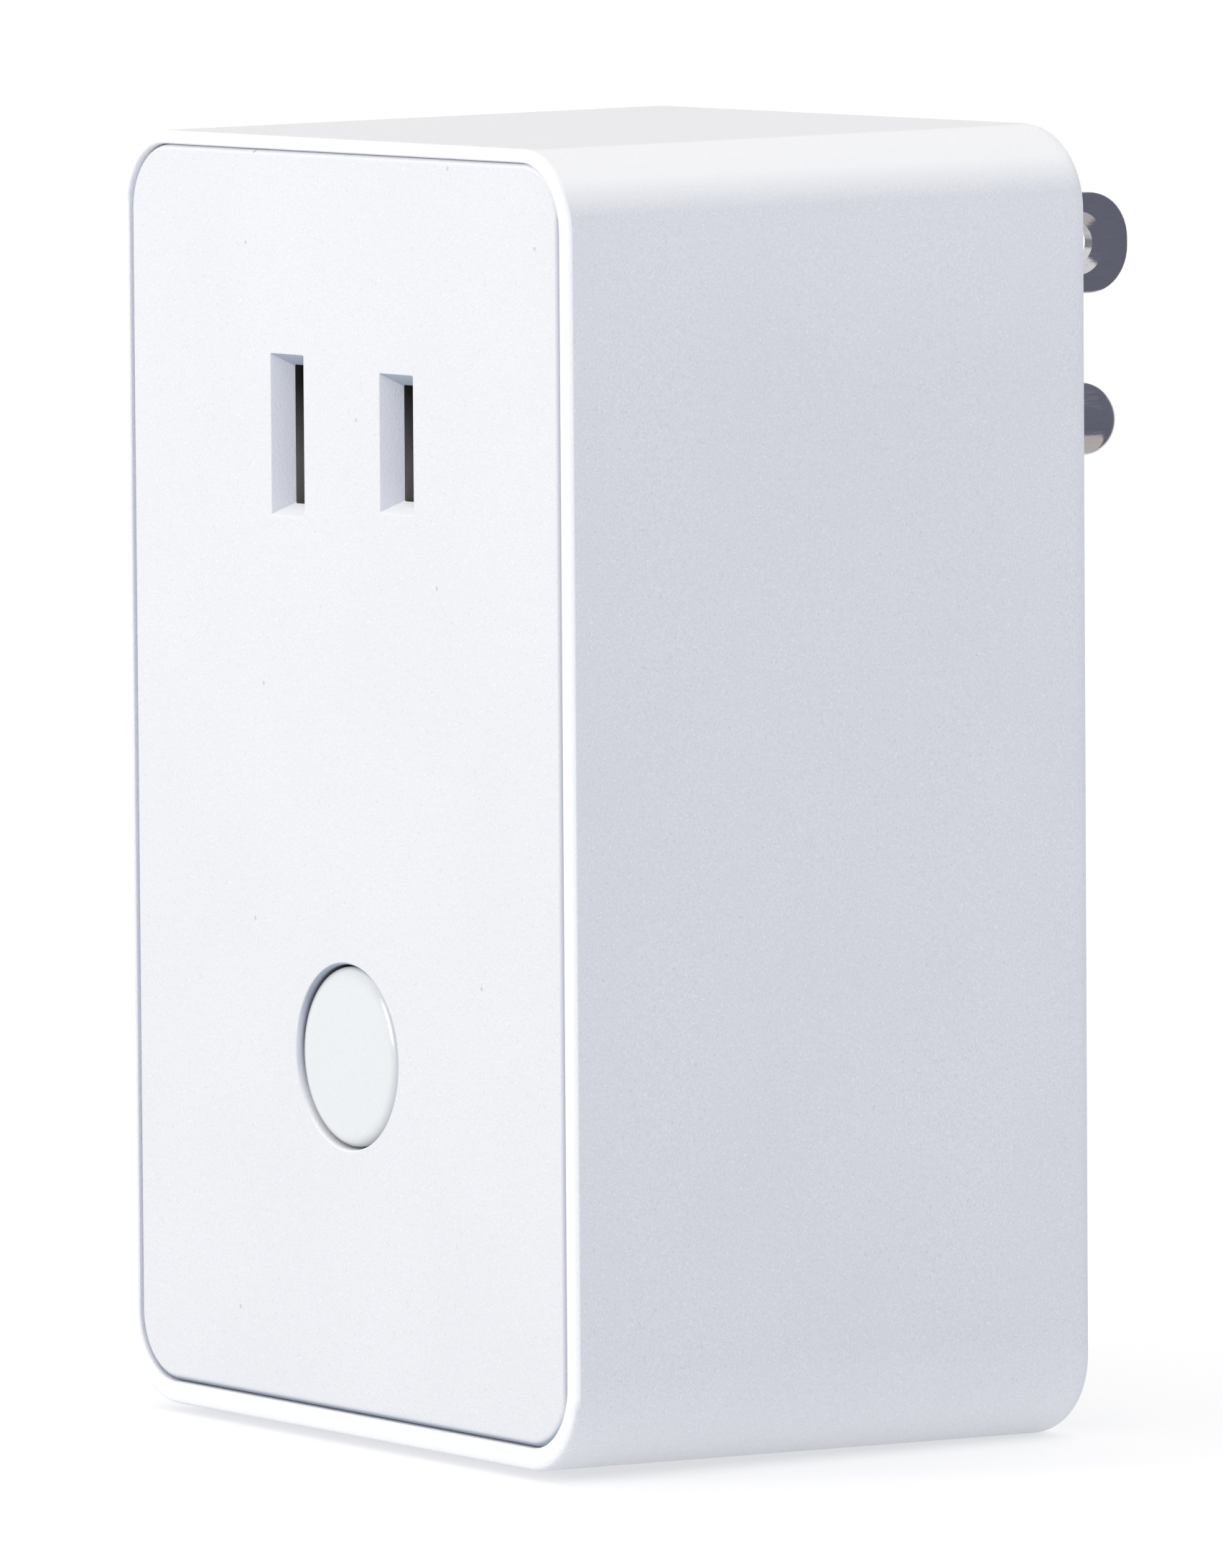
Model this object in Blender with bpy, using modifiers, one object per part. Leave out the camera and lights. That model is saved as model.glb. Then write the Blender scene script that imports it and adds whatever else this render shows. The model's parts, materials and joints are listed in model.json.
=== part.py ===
"""A plug-in power meter: a white housing with a three-pin plug behind and a switched outlet in front.

Lengths are millimetres in this script, and MM turns them into Blender's metres.
The origin is the middle of the flat back that meets the wall. +Y runs into the wall,
so the front panel looks along -Y, +X is to its right and +Z is up.
"""
import math

import bmesh
import bpy
from mathutils import Matrix, Vector

MM = 0.001
GAP = 0.3                        # kept between pieces that touch
THROUGH = 1.0                    # how far a cutter runs past the face it opens

# Housing
BODY_WIDTH = 52.4
BODY_HEIGHT = 82.0               # at the front
BODY_DEPTH = 40.0
BACK_FLARE = 0.6                 # how much higher the top is, and lower the bottom, at the back
SIDE_TAPER = 0.5                 # how much narrower each side is at the back
CORNER_RADIUS = 5.4
FRONT_FILLET = 0.5
BACK_FILLET = 1.8
WALL = 2.2
RIM = 1.15                       # width of the rim round the front panel
PANEL_RISE = 0.3                 # the panel sits this much above the body's middle
SEAT_DEPTH = 2.8                 # from the front plane to the ledge behind the panel
PANEL_RECESS = 0.15
PANEL_GAP = 0.15                 # between the panel's edge and the rim
PANEL_FILLET = 0.7

# Plug and outlet: blades and slots are 12.7 mm apart
BLADE_X = 6.35
BLADE_Z = 33.1
BLADE_THICKNESS = 1.5
BLADE_HEIGHT = 6.5
BLADE_LENGTH = 16.0
BLADE_TIP = 3.0                  # rounding of the two corners at the end
BLADE_HOLE_AT = 11.9
BLADE_HOLE_RADIUS = 1.35
PIN_Z = BLADE_Z - 11.85
PIN_RADIUS = 2.375
PIN_LENGTH = 19.35
PIN_TIP = 2.1                    # length of the rounded end
OUTLET_Z = 22.1
MOUTH_WIDTH = 3.9
MOUTH_CHAMFER = 0.75
MOUTH_DEPTH = 1.4                # also the panel's thickness round the slots
NEUTRAL_MOUTH = 10.3
LINE_MOUTH = 8.8

# Button
BUTTON_Z = -16.9
BUTTON_RADIUS = 5.6
BUTTON_HOLE_RADIUS = 5.9
BUTTON_RECESS = 0.1              # how far the cap's edge lies behind the panel's face
BUTTON_CROWN = 0.05              # how far the middle of the cap stands over its edge

# Blank rating label in its recess on the back
LABEL_Z = -20.5
LABEL_HALF_WIDTH = 17.0
LABEL_HALF_HEIGHT = 9.0

# Boards, as Y of their faces
BOARD_FRONT = -8.2
BOARD_BACK = -6.6
CONTROL_FRONT = -31.0
CONTROL_BACK = -29.8

# Where things are fastened, as (X, Z)
HOUSING_SCREWS = ((-19.2, 34.4), (19.2, 34.4), (-19.2, -34.4), (19.2, -34.4))
CONTROL_SCREWS = ((-12.3, 4.5), (12.3, -34.8))
CONTROL_PEGS = ((12.3, 4.5), (-12.3, -34.8))
SOCKET_POSTS = ((-10.2, 15.6), (10.2, 15.6), (-10.2, 28.6), (10.2, 28.6))

# Relay and transformer places on the power board, as (X, Z)
RELAY_AT = (12.35, -14.5)
TRANSFORMER_AT = (-3.4, -21.5)

CORNER_STEPS = 9
ROUND_STEPS = 28
SMALL_ROUND_STEPS = 14
SHARP_ANGLE = math.radians(32)

PARTS = None
CUTTERS = None


# ---------------------------------------------------------------- helpers

def clear_scene():
    for old in list(bpy.data.objects):
        bpy.data.objects.remove(old, do_unlink=True)


def collection(name):
    made = bpy.data.collections.new(name)
    bpy.context.scene.collection.children.link(made)
    return made


def look(name, colour, roughness, metallic=0.0):
    """The material for one sub-part."""
    material = bpy.data.materials.new(name)
    material.use_nodes = True
    shader = material.node_tree.nodes["Principled BSDF"]
    shader.inputs["Base Color"].default_value = (*colour, 1.0)
    shader.inputs["Roughness"].default_value = roughness
    shader.inputs["Metallic"].default_value = metallic
    return material


def empty(name, at, parent=None):
    """A place to build a sub-assembly around."""
    holder = bpy.data.objects.new(name, None)
    holder.empty_display_size = 5 * MM
    holder.location = Vector(at) * MM
    holder.parent = parent
    PARTS.objects.link(holder)
    return holder


def finish(name, bm, at=(0, 0, 0)):
    """Turns millimetre geometry into a shaded object whose origin is at a point."""
    bmesh.ops.recalc_face_normals(bm, faces=bm.faces)
    bmesh.ops.scale(bm, vec=(MM, MM, MM), verts=bm.verts)
    mesh = bpy.data.meshes.new(name)
    bm.to_mesh(mesh)
    bm.free()
    mesh.shade_smooth()
    mesh.set_sharp_from_angle(angle=SHARP_ANGLE)
    made = bpy.data.objects.new(name, mesh)
    made.location = Vector(at) * MM
    return made


def part(made, colour, roughness, metallic=0.0, parent=None):
    """Files an object as one piece of the meter and gives it its own material."""
    made.data.materials.append(look(made.name, colour, roughness, metallic))
    made.parent = parent
    PARTS.objects.link(made)
    return made


def tool(made, parent=None):
    """Files an object as a cutter, or as a shape that is joined to a piece."""
    made.display_type = 'WIRE'
    made.hide_render = True
    made.parent = parent
    CUTTERS.objects.link(made)
    return made


def combine(target, shape, operation):
    modifier = target.modifiers.new(operation.lower(), 'BOOLEAN')
    modifier.operation = operation
    modifier.solver = 'EXACT'
    modifier.object = shape


def cut(target, made):
    combine(target, tool(made, target.parent), 'DIFFERENCE')


def join(target, made):
    combine(target, tool(made, target.parent), 'UNION')


def box(name, low, high, rounding=0.0, segments=1):
    """An upright box between two corners, with its edges rounded."""
    size = [b - a for a, b in zip(low, high)]
    middle = [(a + b) / 2 for a, b in zip(low, high)]
    bm = bmesh.new()
    bmesh.ops.create_cube(bm, size=1.0, matrix=Matrix.Diagonal((*size, 1.0)))
    if rounding:
        bmesh.ops.bevel(bm, geom=bm.edges[:], offset=rounding, segments=segments,
                        profile=0.5, affect='EDGES')
    return finish(name, bm, middle)


def rod(name, radius, start, end, sides=SMALL_ROUND_STEPS):
    """A straight round bar between two points."""
    start = Vector(start)
    end = Vector(end)
    bm = bmesh.new()
    bmesh.ops.create_cone(bm, cap_ends=True, segments=sides, radius1=radius, radius2=radius,
                          depth=(end - start).length)
    made = finish(name, bm, (start + end) / 2)
    made.rotation_euler = (end - start).to_track_quat('Z', 'Y').to_euler()
    return made


def turned(name, profile, at, facing=(0, -1, 0), steps=ROUND_STEPS, ring=False):
    """A turned solid. The profile holds (radius, height) from its top down the outer side."""
    bm = bmesh.new()
    points = [bm.verts.new((radius, 0, height)) for radius, height in profile]
    for first, second in zip(points, points[1:]):
        bm.edges.new((first, second))
    if ring:
        bm.edges.new((points[-1], points[0]))
    made = finish(name, bm, at)
    made.rotation_euler = Vector(facing).to_track_quat('Z', 'Y').to_euler()
    screw = made.modifiers.new("turn", 'SCREW')
    screw.steps = steps
    screw.render_steps = steps
    screw.use_merge_vertices = True
    screw.merge_threshold = 0.00001
    screw.use_smooth_shade = True
    return made


def arc(middle, radius, start_degrees, end_degrees, steps):
    """Points of an arc, ends included."""
    points = []
    for step in range(steps + 1):
        angle = math.radians(start_degrees + (end_degrees - start_degrees) * step / steps)
        points.append((middle[0] + radius * math.cos(angle), middle[1] + radius * math.sin(angle)))
    return points


def rounded_rectangle(half_width, half_height, radius, middle=(0.0, 0.0), steps=CORNER_STEPS):
    """A rounded rectangle in the XZ plane, the same number of points at any size."""
    points = []
    for quarter, (side, level) in enumerate(((1, 1), (-1, 1), (-1, -1), (1, -1))):
        corner = (middle[0] + side * (half_width - radius), middle[1] + level * (half_height - radius))
        points += arc(corner, radius, 90 * quarter, 90 * quarter + 90, steps)
    return points


def loft(name, sections, at=(0, 0, 0)):
    """Skins a row of (y, outline) sections and closes both ends."""
    bm = bmesh.new()
    rings = [[bm.verts.new((x, y, z)) for x, z in outline] for y, outline in sections]
    for ring, following in zip(rings, rings[1:]):
        for index, corner in enumerate(ring):
            after = (index + 1) % len(ring)
            bm.faces.new((corner, ring[after], following[after], following[index]))
    bm.faces.new(rings[0])
    bm.faces.new(rings[-1])
    return finish(name, bm, at)


def extruded(name, outline, axis, low, high, at=(0, 0, 0), rounding=0.0):
    """A flat outline pushed along an axis from low to high."""
    def place(point, level):
        values = list(point)
        values.insert('XYZ'.index(axis), level)
        return values

    bm = bmesh.new()
    base = bm.faces.new([bm.verts.new(place(point, low)) for point in outline])
    pushed = bmesh.ops.extrude_face_region(bm, geom=[base])['geom']
    top = [item for item in pushed if isinstance(item, bmesh.types.BMVert)]
    bmesh.ops.translate(bm, vec=place((0, 0), high - low), verts=top)
    if rounding:
        bmesh.ops.bevel(bm, geom=bm.edges[:], offset=rounding, segments=1, profile=0.5,
                        affect='EDGES')
    return finish(name, bm, at)


def strip(points, thickness):
    """The outline of bent strip metal whose middle line passes through the points."""
    left = []
    right = []
    for index, point in enumerate(points):
        before = Vector(points[max(index - 1, 0)])
        after = Vector(points[min(index + 1, len(points) - 1)])
        here = Vector(point)
        into = (here - before).normalized() if index else (after - here).normalized()
        out = (after - here).normalized() if index < len(points) - 1 else into
        normal = Vector((-into.y - out.y, into.x + out.x)).normalized()
        mitre = thickness / 2 / max(normal.dot(Vector((-into.y, into.x))), 0.5)
        left.append(tuple(here + normal * mitre))
        right.append(tuple(here - normal * mitre))
    return left + right[::-1]


def smooth_path(points, steps):
    """Catmull-Rom points through a route."""
    route = [Vector(point) for point in points]
    route = [route[0] * 2 - route[1]] + route + [route[-1] * 2 - route[-2]]
    path = []
    for index in range(1, len(route) - 2):
        a, b, c, d = route[index - 1:index + 3]
        for step in range(steps):
            t = step / steps
            path.append(0.5 * (2 * b + (c - a) * t + (2 * a - 5 * b + 4 * c - d) * t ** 2
                               + (3 * b - a - 3 * c + d) * t ** 3))
    path.append(route[-2])
    return path


# ---------------------------------------------------------------- housing and panel

def body_outline(inset, y, rise=0.0):
    """The body's outline at a depth, moved inwards by inset."""
    depth = (y + BODY_DEPTH) / BODY_DEPTH
    half_width = BODY_WIDTH / 2 - SIDE_TAPER * depth
    half_height = BODY_HEIGHT / 2 + BACK_FLARE * depth
    radius = max(CORNER_RADIUS - inset, 0.4)
    return rounded_rectangle(half_width - inset, half_height - inset, radius, (0.0, rise))


def screw_tower(x, z):
    return rod("tower", 4.0, (x, -1.2, z), (x, BOARD_BACK + GAP, z), ROUND_STEPS)


def make_housing(meter):
    sections = [(0.0, body_outline(BACK_FILLET, 0.0))]
    for inset, y in arc((BACK_FILLET, -BACK_FILLET), BACK_FILLET, 90, 180, 5)[1:]:
        sections.append((y, body_outline(inset, y)))
    front = -BODY_DEPTH
    for inset, y in arc((FRONT_FILLET, front + FRONT_FILLET), FRONT_FILLET, 180, 270, 3):
        sections.append((y, body_outline(inset, y)))
    inner_fillet = 0.25
    for inset, y in arc((RIM - inner_fillet, front + inner_fillet), inner_fillet, 270, 360, 2):
        sections.append((y, body_outline(inset, y, PANEL_RISE)))
    ledge = front + SEAT_DEPTH
    sections.append((ledge, body_outline(RIM, ledge, PANEL_RISE)))
    sections.append((ledge, body_outline(WALL, ledge)))
    sections.append((-WALL - 0.8, body_outline(WALL, -WALL - 0.8)))
    sections.append((-WALL, body_outline(WALL + 0.8, -WALL)))
    housing = part(loft("housing", sections), (0.86, 0.87, 0.88), 0.5, parent=meter)

    for x, z in HOUSING_SCREWS:
        join(housing, screw_tower(x, z))
        cut(housing, turned("screw_hole", [(0, THROUGH), (3.2, THROUGH), (3.2, -3.0), (1.7, -3.0),
                                           (1.7, -8.0), (0, -8.0)], (x, 0, z), (0, 1, 0)))
    for side in (-1, 1):
        x = side * BLADE_X
        half = BLADE_THICKNESS / 2 + GAP
        tall = BLADE_HEIGHT / 2 + GAP
        cut(housing, box("blade_hole", (x - half, -WALL - THROUGH, BLADE_Z - tall),
                         (x + half, THROUGH, BLADE_Z + tall)))
    cut(housing, rod("pin_hole", PIN_RADIUS + GAP, (0, -WALL - THROUGH, PIN_Z), (0, THROUGH, PIN_Z),
                     ROUND_STEPS))
    recess = rounded_rectangle(LABEL_HALF_WIDTH + GAP, LABEL_HALF_HEIGHT + GAP, 1.6, (0.0, LABEL_Z), 3)
    cut(housing, loft("label_recess", [(-0.6, recess), (THROUGH, recess)]))


def make_label(meter):
    sheet = rounded_rectangle(LABEL_HALF_WIDTH, LABEL_HALF_HEIGHT, 1.3, (0.0, LABEL_Z), 3)
    label = loft("rating_label", [(-0.3, sheet), (-0.02, sheet)])
    part(label, (0.78, 0.79, 0.8), 0.35, parent=meter)


def slot_cutter(x, mouth_height):
    """A slot whose mouth flares towards the front face."""
    face = -BODY_DEPTH + PANEL_RECESS
    sections = []
    for y, wider in ((face + MOUTH_DEPTH + 0.5, 0.0), (face + MOUTH_DEPTH - 0.01, 0.0),
                     (face - THROUGH, 1.0 + THROUGH / MOUTH_DEPTH)):
        half_width = MOUTH_WIDTH / 2 - MOUTH_CHAMFER + MOUTH_CHAMFER * wider
        half_height = mouth_height / 2 - MOUTH_CHAMFER + MOUTH_CHAMFER * wider
        sections.append((y, rounded_rectangle(half_width, half_height, 0.12, (x, OUTLET_Z), 1)))
    return loft("outlet_slot", sections)


def make_front_panel(meter):
    face = -BODY_DEPTH + PANEL_RECESS
    back = -BODY_DEPTH + SEAT_DEPTH - GAP
    edge = RIM + PANEL_GAP

    def outline(inset):
        return rounded_rectangle(BODY_WIDTH / 2 - edge - inset, BODY_HEIGHT / 2 - edge - inset,
                                 CORNER_RADIUS - edge - inset, (0.0, PANEL_RISE))

    sections = [(back, outline(0.0))]
    for inset, y in arc((PANEL_FILLET, face + PANEL_FILLET), PANEL_FILLET, 180, 270, 4):
        sections.append((y, outline(inset)))
    panel = part(loft("front_panel", sections), (0.9, 0.91, 0.93), 0.45, parent=meter)

    buried = back - 1.0
    for x, z in HOUSING_SCREWS:
        join(panel, rod("pillar", 3.5, (x, buried, z), (x, BOARD_FRONT - GAP, z), ROUND_STEPS))
        cut(panel, rod("pillar_pilot", 1.75, (x, -20.5, z), (x, -7.0, z)))
    for x, z in CONTROL_SCREWS:
        join(panel, rod("post", 2.2, (x, buried, z), (x, CONTROL_FRONT - GAP, z)))
        cut(panel, rod("post_pilot", 1.1, (x, -36.5, z), (x, -30.0, z)))
    for x, z in CONTROL_PEGS:
        join(panel, turned("peg", [(0, 8.5), (0.95, 8.5), (0.95, 6.2), (2.2, 6.2), (2.2, -1.0), (0, -1.0)],
                           (x, back, z), (0, 1, 0), SMALL_ROUND_STEPS))

    frame = 1.2
    half_width = 12.8
    half_height = 8.5
    join(panel, box("socket_frame", (-half_width - frame, buried, OUTLET_Z - half_height - frame),
                    (half_width + frame, -33.5, OUTLET_Z + half_height + frame)))
    cut(panel, box("socket_frame_inside", (-half_width, face + MOUTH_DEPTH, OUTLET_Z - half_height),
                   (half_width, -32.0, OUTLET_Z + half_height)))
    cut(panel, slot_cutter(-BLADE_X, NEUTRAL_MOUTH))
    cut(panel, slot_cutter(BLADE_X, LINE_MOUTH))

    join(panel, rod("button_collar", 8.2, (0, buried, BUTTON_Z), (0, -34.5, BUTTON_Z), ROUND_STEPS))
    hole = BUTTON_HOLE_RADIUS
    depth = face - back
    cut(panel, turned("button_hole", [(0, THROUGH), (hole + 1.4, THROUGH), (hole + 0.35, 0.0),
                                      (hole + 0.1, -0.12), (hole, -0.35), (hole, depth + 0.1),
                                      (7.0, depth + 0.1), (7.0, -7.0), (0, -7.0)],
                      (0, face, BUTTON_Z), steps=40))


def make_button(meter):
    """A hollow cap with a flange behind the panel and a stem over the switch."""
    edge = 0.7
    profile = [(0, BUTTON_CROWN), (BUTTON_RADIUS / 2, 0.8 * BUTTON_CROWN), (BUTTON_RADIUS - edge, 0)]
    profile += arc((BUTTON_RADIUS - edge, -edge), edge, 90, 0, 4)[1:]
    profile += [(BUTTON_RADIUS, -2.55), (6.7, -2.55), (6.7, -3.55), (4.4, -3.55), (4.4, -1.3),
                (2.0, -1.3), (2.0, -4.15), (0, -4.15)]
    cap = turned("button_cap", profile, (0, -BODY_DEPTH + PANEL_RECESS + BUTTON_RECESS, BUTTON_Z),
                 steps=40)
    part(cap, (0.8, 0.85, 0.84), 0.35, parent=meter)


# ---------------------------------------------------------------- plug

def make_plug(meter):
    shoulder = (-2.5, -4.5)
    half = BLADE_HEIGHT / 2
    side = [(-10.0, -2.0), (shoulder[1], -2.0), (shoulder[1], -4.5), (shoulder[0], -4.5),
            (shoulder[0], -half)]
    side += arc((BLADE_LENGTH - BLADE_TIP, -half + BLADE_TIP), BLADE_TIP, -90, 0, 6)
    side += [(y, -z) for y, z in reversed(side)]
    for name, x in (("plug_blade_neutral", -BLADE_X), ("plug_blade_line", BLADE_X)):
        blade = extruded(name, side, 'X', -BLADE_THICKNESS / 2, BLADE_THICKNESS / 2,
                         (x, 0, BLADE_Z), 0.2)
        part(blade, (0.55, 0.54, 0.52), 0.3, 1.0, meter)
        hole = BLADE_HOLE_RADIUS
        flare = hole + 0.7
        cut(blade, turned("blade_eye", [(0, 2.0), (flare + 1.25, 2.0), (flare, 0.75), (hole, 0.25),
                                        (hole, -0.25), (flare, -0.75), (flare + 1.25, -2.0), (0, -2.0)],
                          (x, BLADE_HOLE_AT, BLADE_Z), (1, 0, 0), 24))

    profile = [(PIN_RADIUS * across, PIN_LENGTH - PIN_TIP + PIN_TIP * along)
               for across, along in arc((0.0, 0.0), 1.0, 90, 0, 6)]
    profile[0] = (0, PIN_LENGTH)
    profile += [(PIN_RADIUS, -2.5), (3.5, -2.5), (3.5, -4.3), (1.2, -4.3), (1.2, -10.0), (0, -10.0)]
    pin = turned("plug_ground_pin", profile, (0, 0, PIN_Z), (0, 1, 0))
    part(pin, (0.6, 0.58, 0.55), 0.3, 1.0, meter)

    front = BOARD_BACK + GAP
    carrier = box("plug_carrier", (-13.0, front, 15.5), (13.0, -WALL - GAP, 38.4), 0.5)
    part(carrier, (0.12, 0.12, 0.13), 0.6, parent=meter)
    for x in (-BLADE_X, BLADE_X):
        cut(carrier, box("tab_slot", (x - 1.05, front - THROUGH, BLADE_Z - 2.3),
                         (x + 1.05, -WALL, BLADE_Z + 2.3)))
        cut(carrier, box("shoulder_pocket", (x - 1.05, -4.8, BLADE_Z - 4.8),
                         (x + 1.05, -WALL + THROUGH, BLADE_Z + 4.8)))
    cut(carrier, turned("pin_pocket", [(0, THROUGH), (3.8, THROUGH), (3.8, -2.4), (1.5, -2.4),
                                       (1.5, -6.0), (0, -6.0)], (0, -WALL, PIN_Z), (0, 1, 0)))


# ---------------------------------------------------------------- outlet

def make_outlet(meter):
    front = -BODY_DEPTH + PANEL_RECESS + MOUTH_DEPTH + GAP
    rear = -22.0
    half_width = 12.5
    half_height = 8.2
    block = box("socket_block", (-half_width, front, OUTLET_Z - half_height),
                (half_width, rear, OUTLET_Z + half_height), 0.3)
    part(block, (0.16, 0.16, 0.17), 0.6, parent=meter)
    mouth = MOUTH_WIDTH / 2 - MOUTH_CHAMFER
    for x, slot in ((-BLADE_X, NEUTRAL_MOUTH), (BLADE_X, LINE_MOUTH)):
        tall = slot / 2 - MOUTH_CHAMFER
        cut(block, box("contact_pocket", (x - 3.3, front + 2.6, OUTLET_Z - 4.9),
                       (x + 3.3, rear + THROUGH, OUTLET_Z + 4.9)))
        cut(block, box("contact_mouth", (x - mouth, front - THROUGH, OUTLET_Z - tall),
                       (x + mouth, front + 3.0, OUTLET_Z + tall)))
    for side in (-1, 1):
        inner = side * (half_width - 0.8)
        outer = side * (half_width + 1.0)
        cut(block, box("latch_notch", (min(inner, outer), -27.0, OUTLET_Z - 3.4),
                       (max(inner, outer), -25.0, OUTLET_Z + 3.4)))

    for name, x in (("socket_contact_neutral", -BLADE_X), ("socket_contact_line", BLADE_X)):
        half = [(2.1, -34.9), (0.75, -32.4), (0.75, -31.8), (2.3, -28.0), (2.3, -24.0)]
        bent = half + [(-across, y) for across, y in reversed(half)]
        contact = extruded(name, strip(bent, 0.6), 'Z', -3.6, 3.6, (x, 0, OUTLET_Z))
        part(contact, (0.7, 0.52, 0.25), 0.35, 1.0, meter)
        join(contact, box("contact_leg", (x - 0.3, -24.05, OUTLET_Z - 2.0),
                          (x + 0.3, BOARD_BACK - GAP, OUTLET_Z + 2.0)))

    cover = box("socket_cover", (-14.0, rear + GAP, OUTLET_Z - half_height),
                (14.0, rear + GAP + 1.8, OUTLET_Z + half_height), 0.25)
    part(cover, (0.18, 0.18, 0.19), 0.6, parent=meter)
    for x in (-BLADE_X, BLADE_X):
        cut(cover, box("leg_slot", (x - 0.6, rear - THROUGH, OUTLET_Z - 2.3),
                       (x + 0.6, rear + 4.0, OUTLET_Z + 2.3)))
    for x, z in SOCKET_POSTS:
        join(cover, rod("cover_post", 1.8, (x, rear + 1.5, z), (x, BOARD_FRONT - GAP, z)))
    for side in (-1, 1):
        hook = [(half_width + GAP, rear + 1.0), (half_width + GAP, -25.3), (half_width - 0.5, -25.3),
                (half_width - 0.5, -25.8), (half_width + 0.1, -26.7), (13.9, -26.7), (13.9, rear + 1.0)]
        join(cover, extruded("latch", [(side * x, y) for x, y in hook], 'Z', -3.0, 3.0,
                             (0, 0, OUTLET_Z)))


# ---------------------------------------------------------------- power board

def make_power_board(meter):
    outline = rounded_rectangle(23.3, 38.2, 3.2, steps=4)
    board = loft("power_board", [(BOARD_FRONT, outline), (BOARD_BACK, outline)])
    part(board, (0.05, 0.22, 0.1), 0.5, parent=meter)

    def slot(x, z, half_width, half_height):
        cut(board, box("board_slot", (x - half_width, BOARD_FRONT - THROUGH, z - half_height),
                       (x + half_width, BOARD_BACK + THROUGH, z + half_height)))

    def hole(x, z, radius):
        cut(board, rod("board_hole", radius, (x, BOARD_FRONT - THROUGH, z), (x, BOARD_BACK + THROUGH, z)))

    for x, z in HOUSING_SCREWS:
        hole(x, z, 1.75)
    hole(0.0, PIN_Z, 1.5)
    for x in (-BLADE_X, BLADE_X):
        slot(x, BLADE_Z, 1.05, 2.3)
        slot(x, OUTLET_Z, 0.6, 2.3)
    relay_x, relay_z = RELAY_AT
    slot(relay_x, relay_z - 12.9, 1.55, 0.9)
    slot(relay_x, relay_z + 11.9, 1.55, 0.7)
    for side in (-1, 1):
        slot(relay_x + side * 3.8, relay_z - 10.4, 0.6, 0.6)


def leads(piece, spots, start, end):
    """Joins round wire legs to a component."""
    for x, z in spots:
        join(piece, rod("lead", 0.35, (x, start, z), (x, end, z), 6))


def can_profile(radius, height):
    """A round aluminium can in its sleeve, with the rolled groove near its base."""
    return [(0, height - 0.35), (radius - 1.0, height - 0.35), (radius - 0.7, height),
            (radius - 0.25, height - 0.05), (radius, height - 0.35), (radius, 2.3),
            (radius - 0.45, 1.8), (radius, 1.3), (radius, 0.3), (radius - 0.3, 0), (0, 0)]


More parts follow.
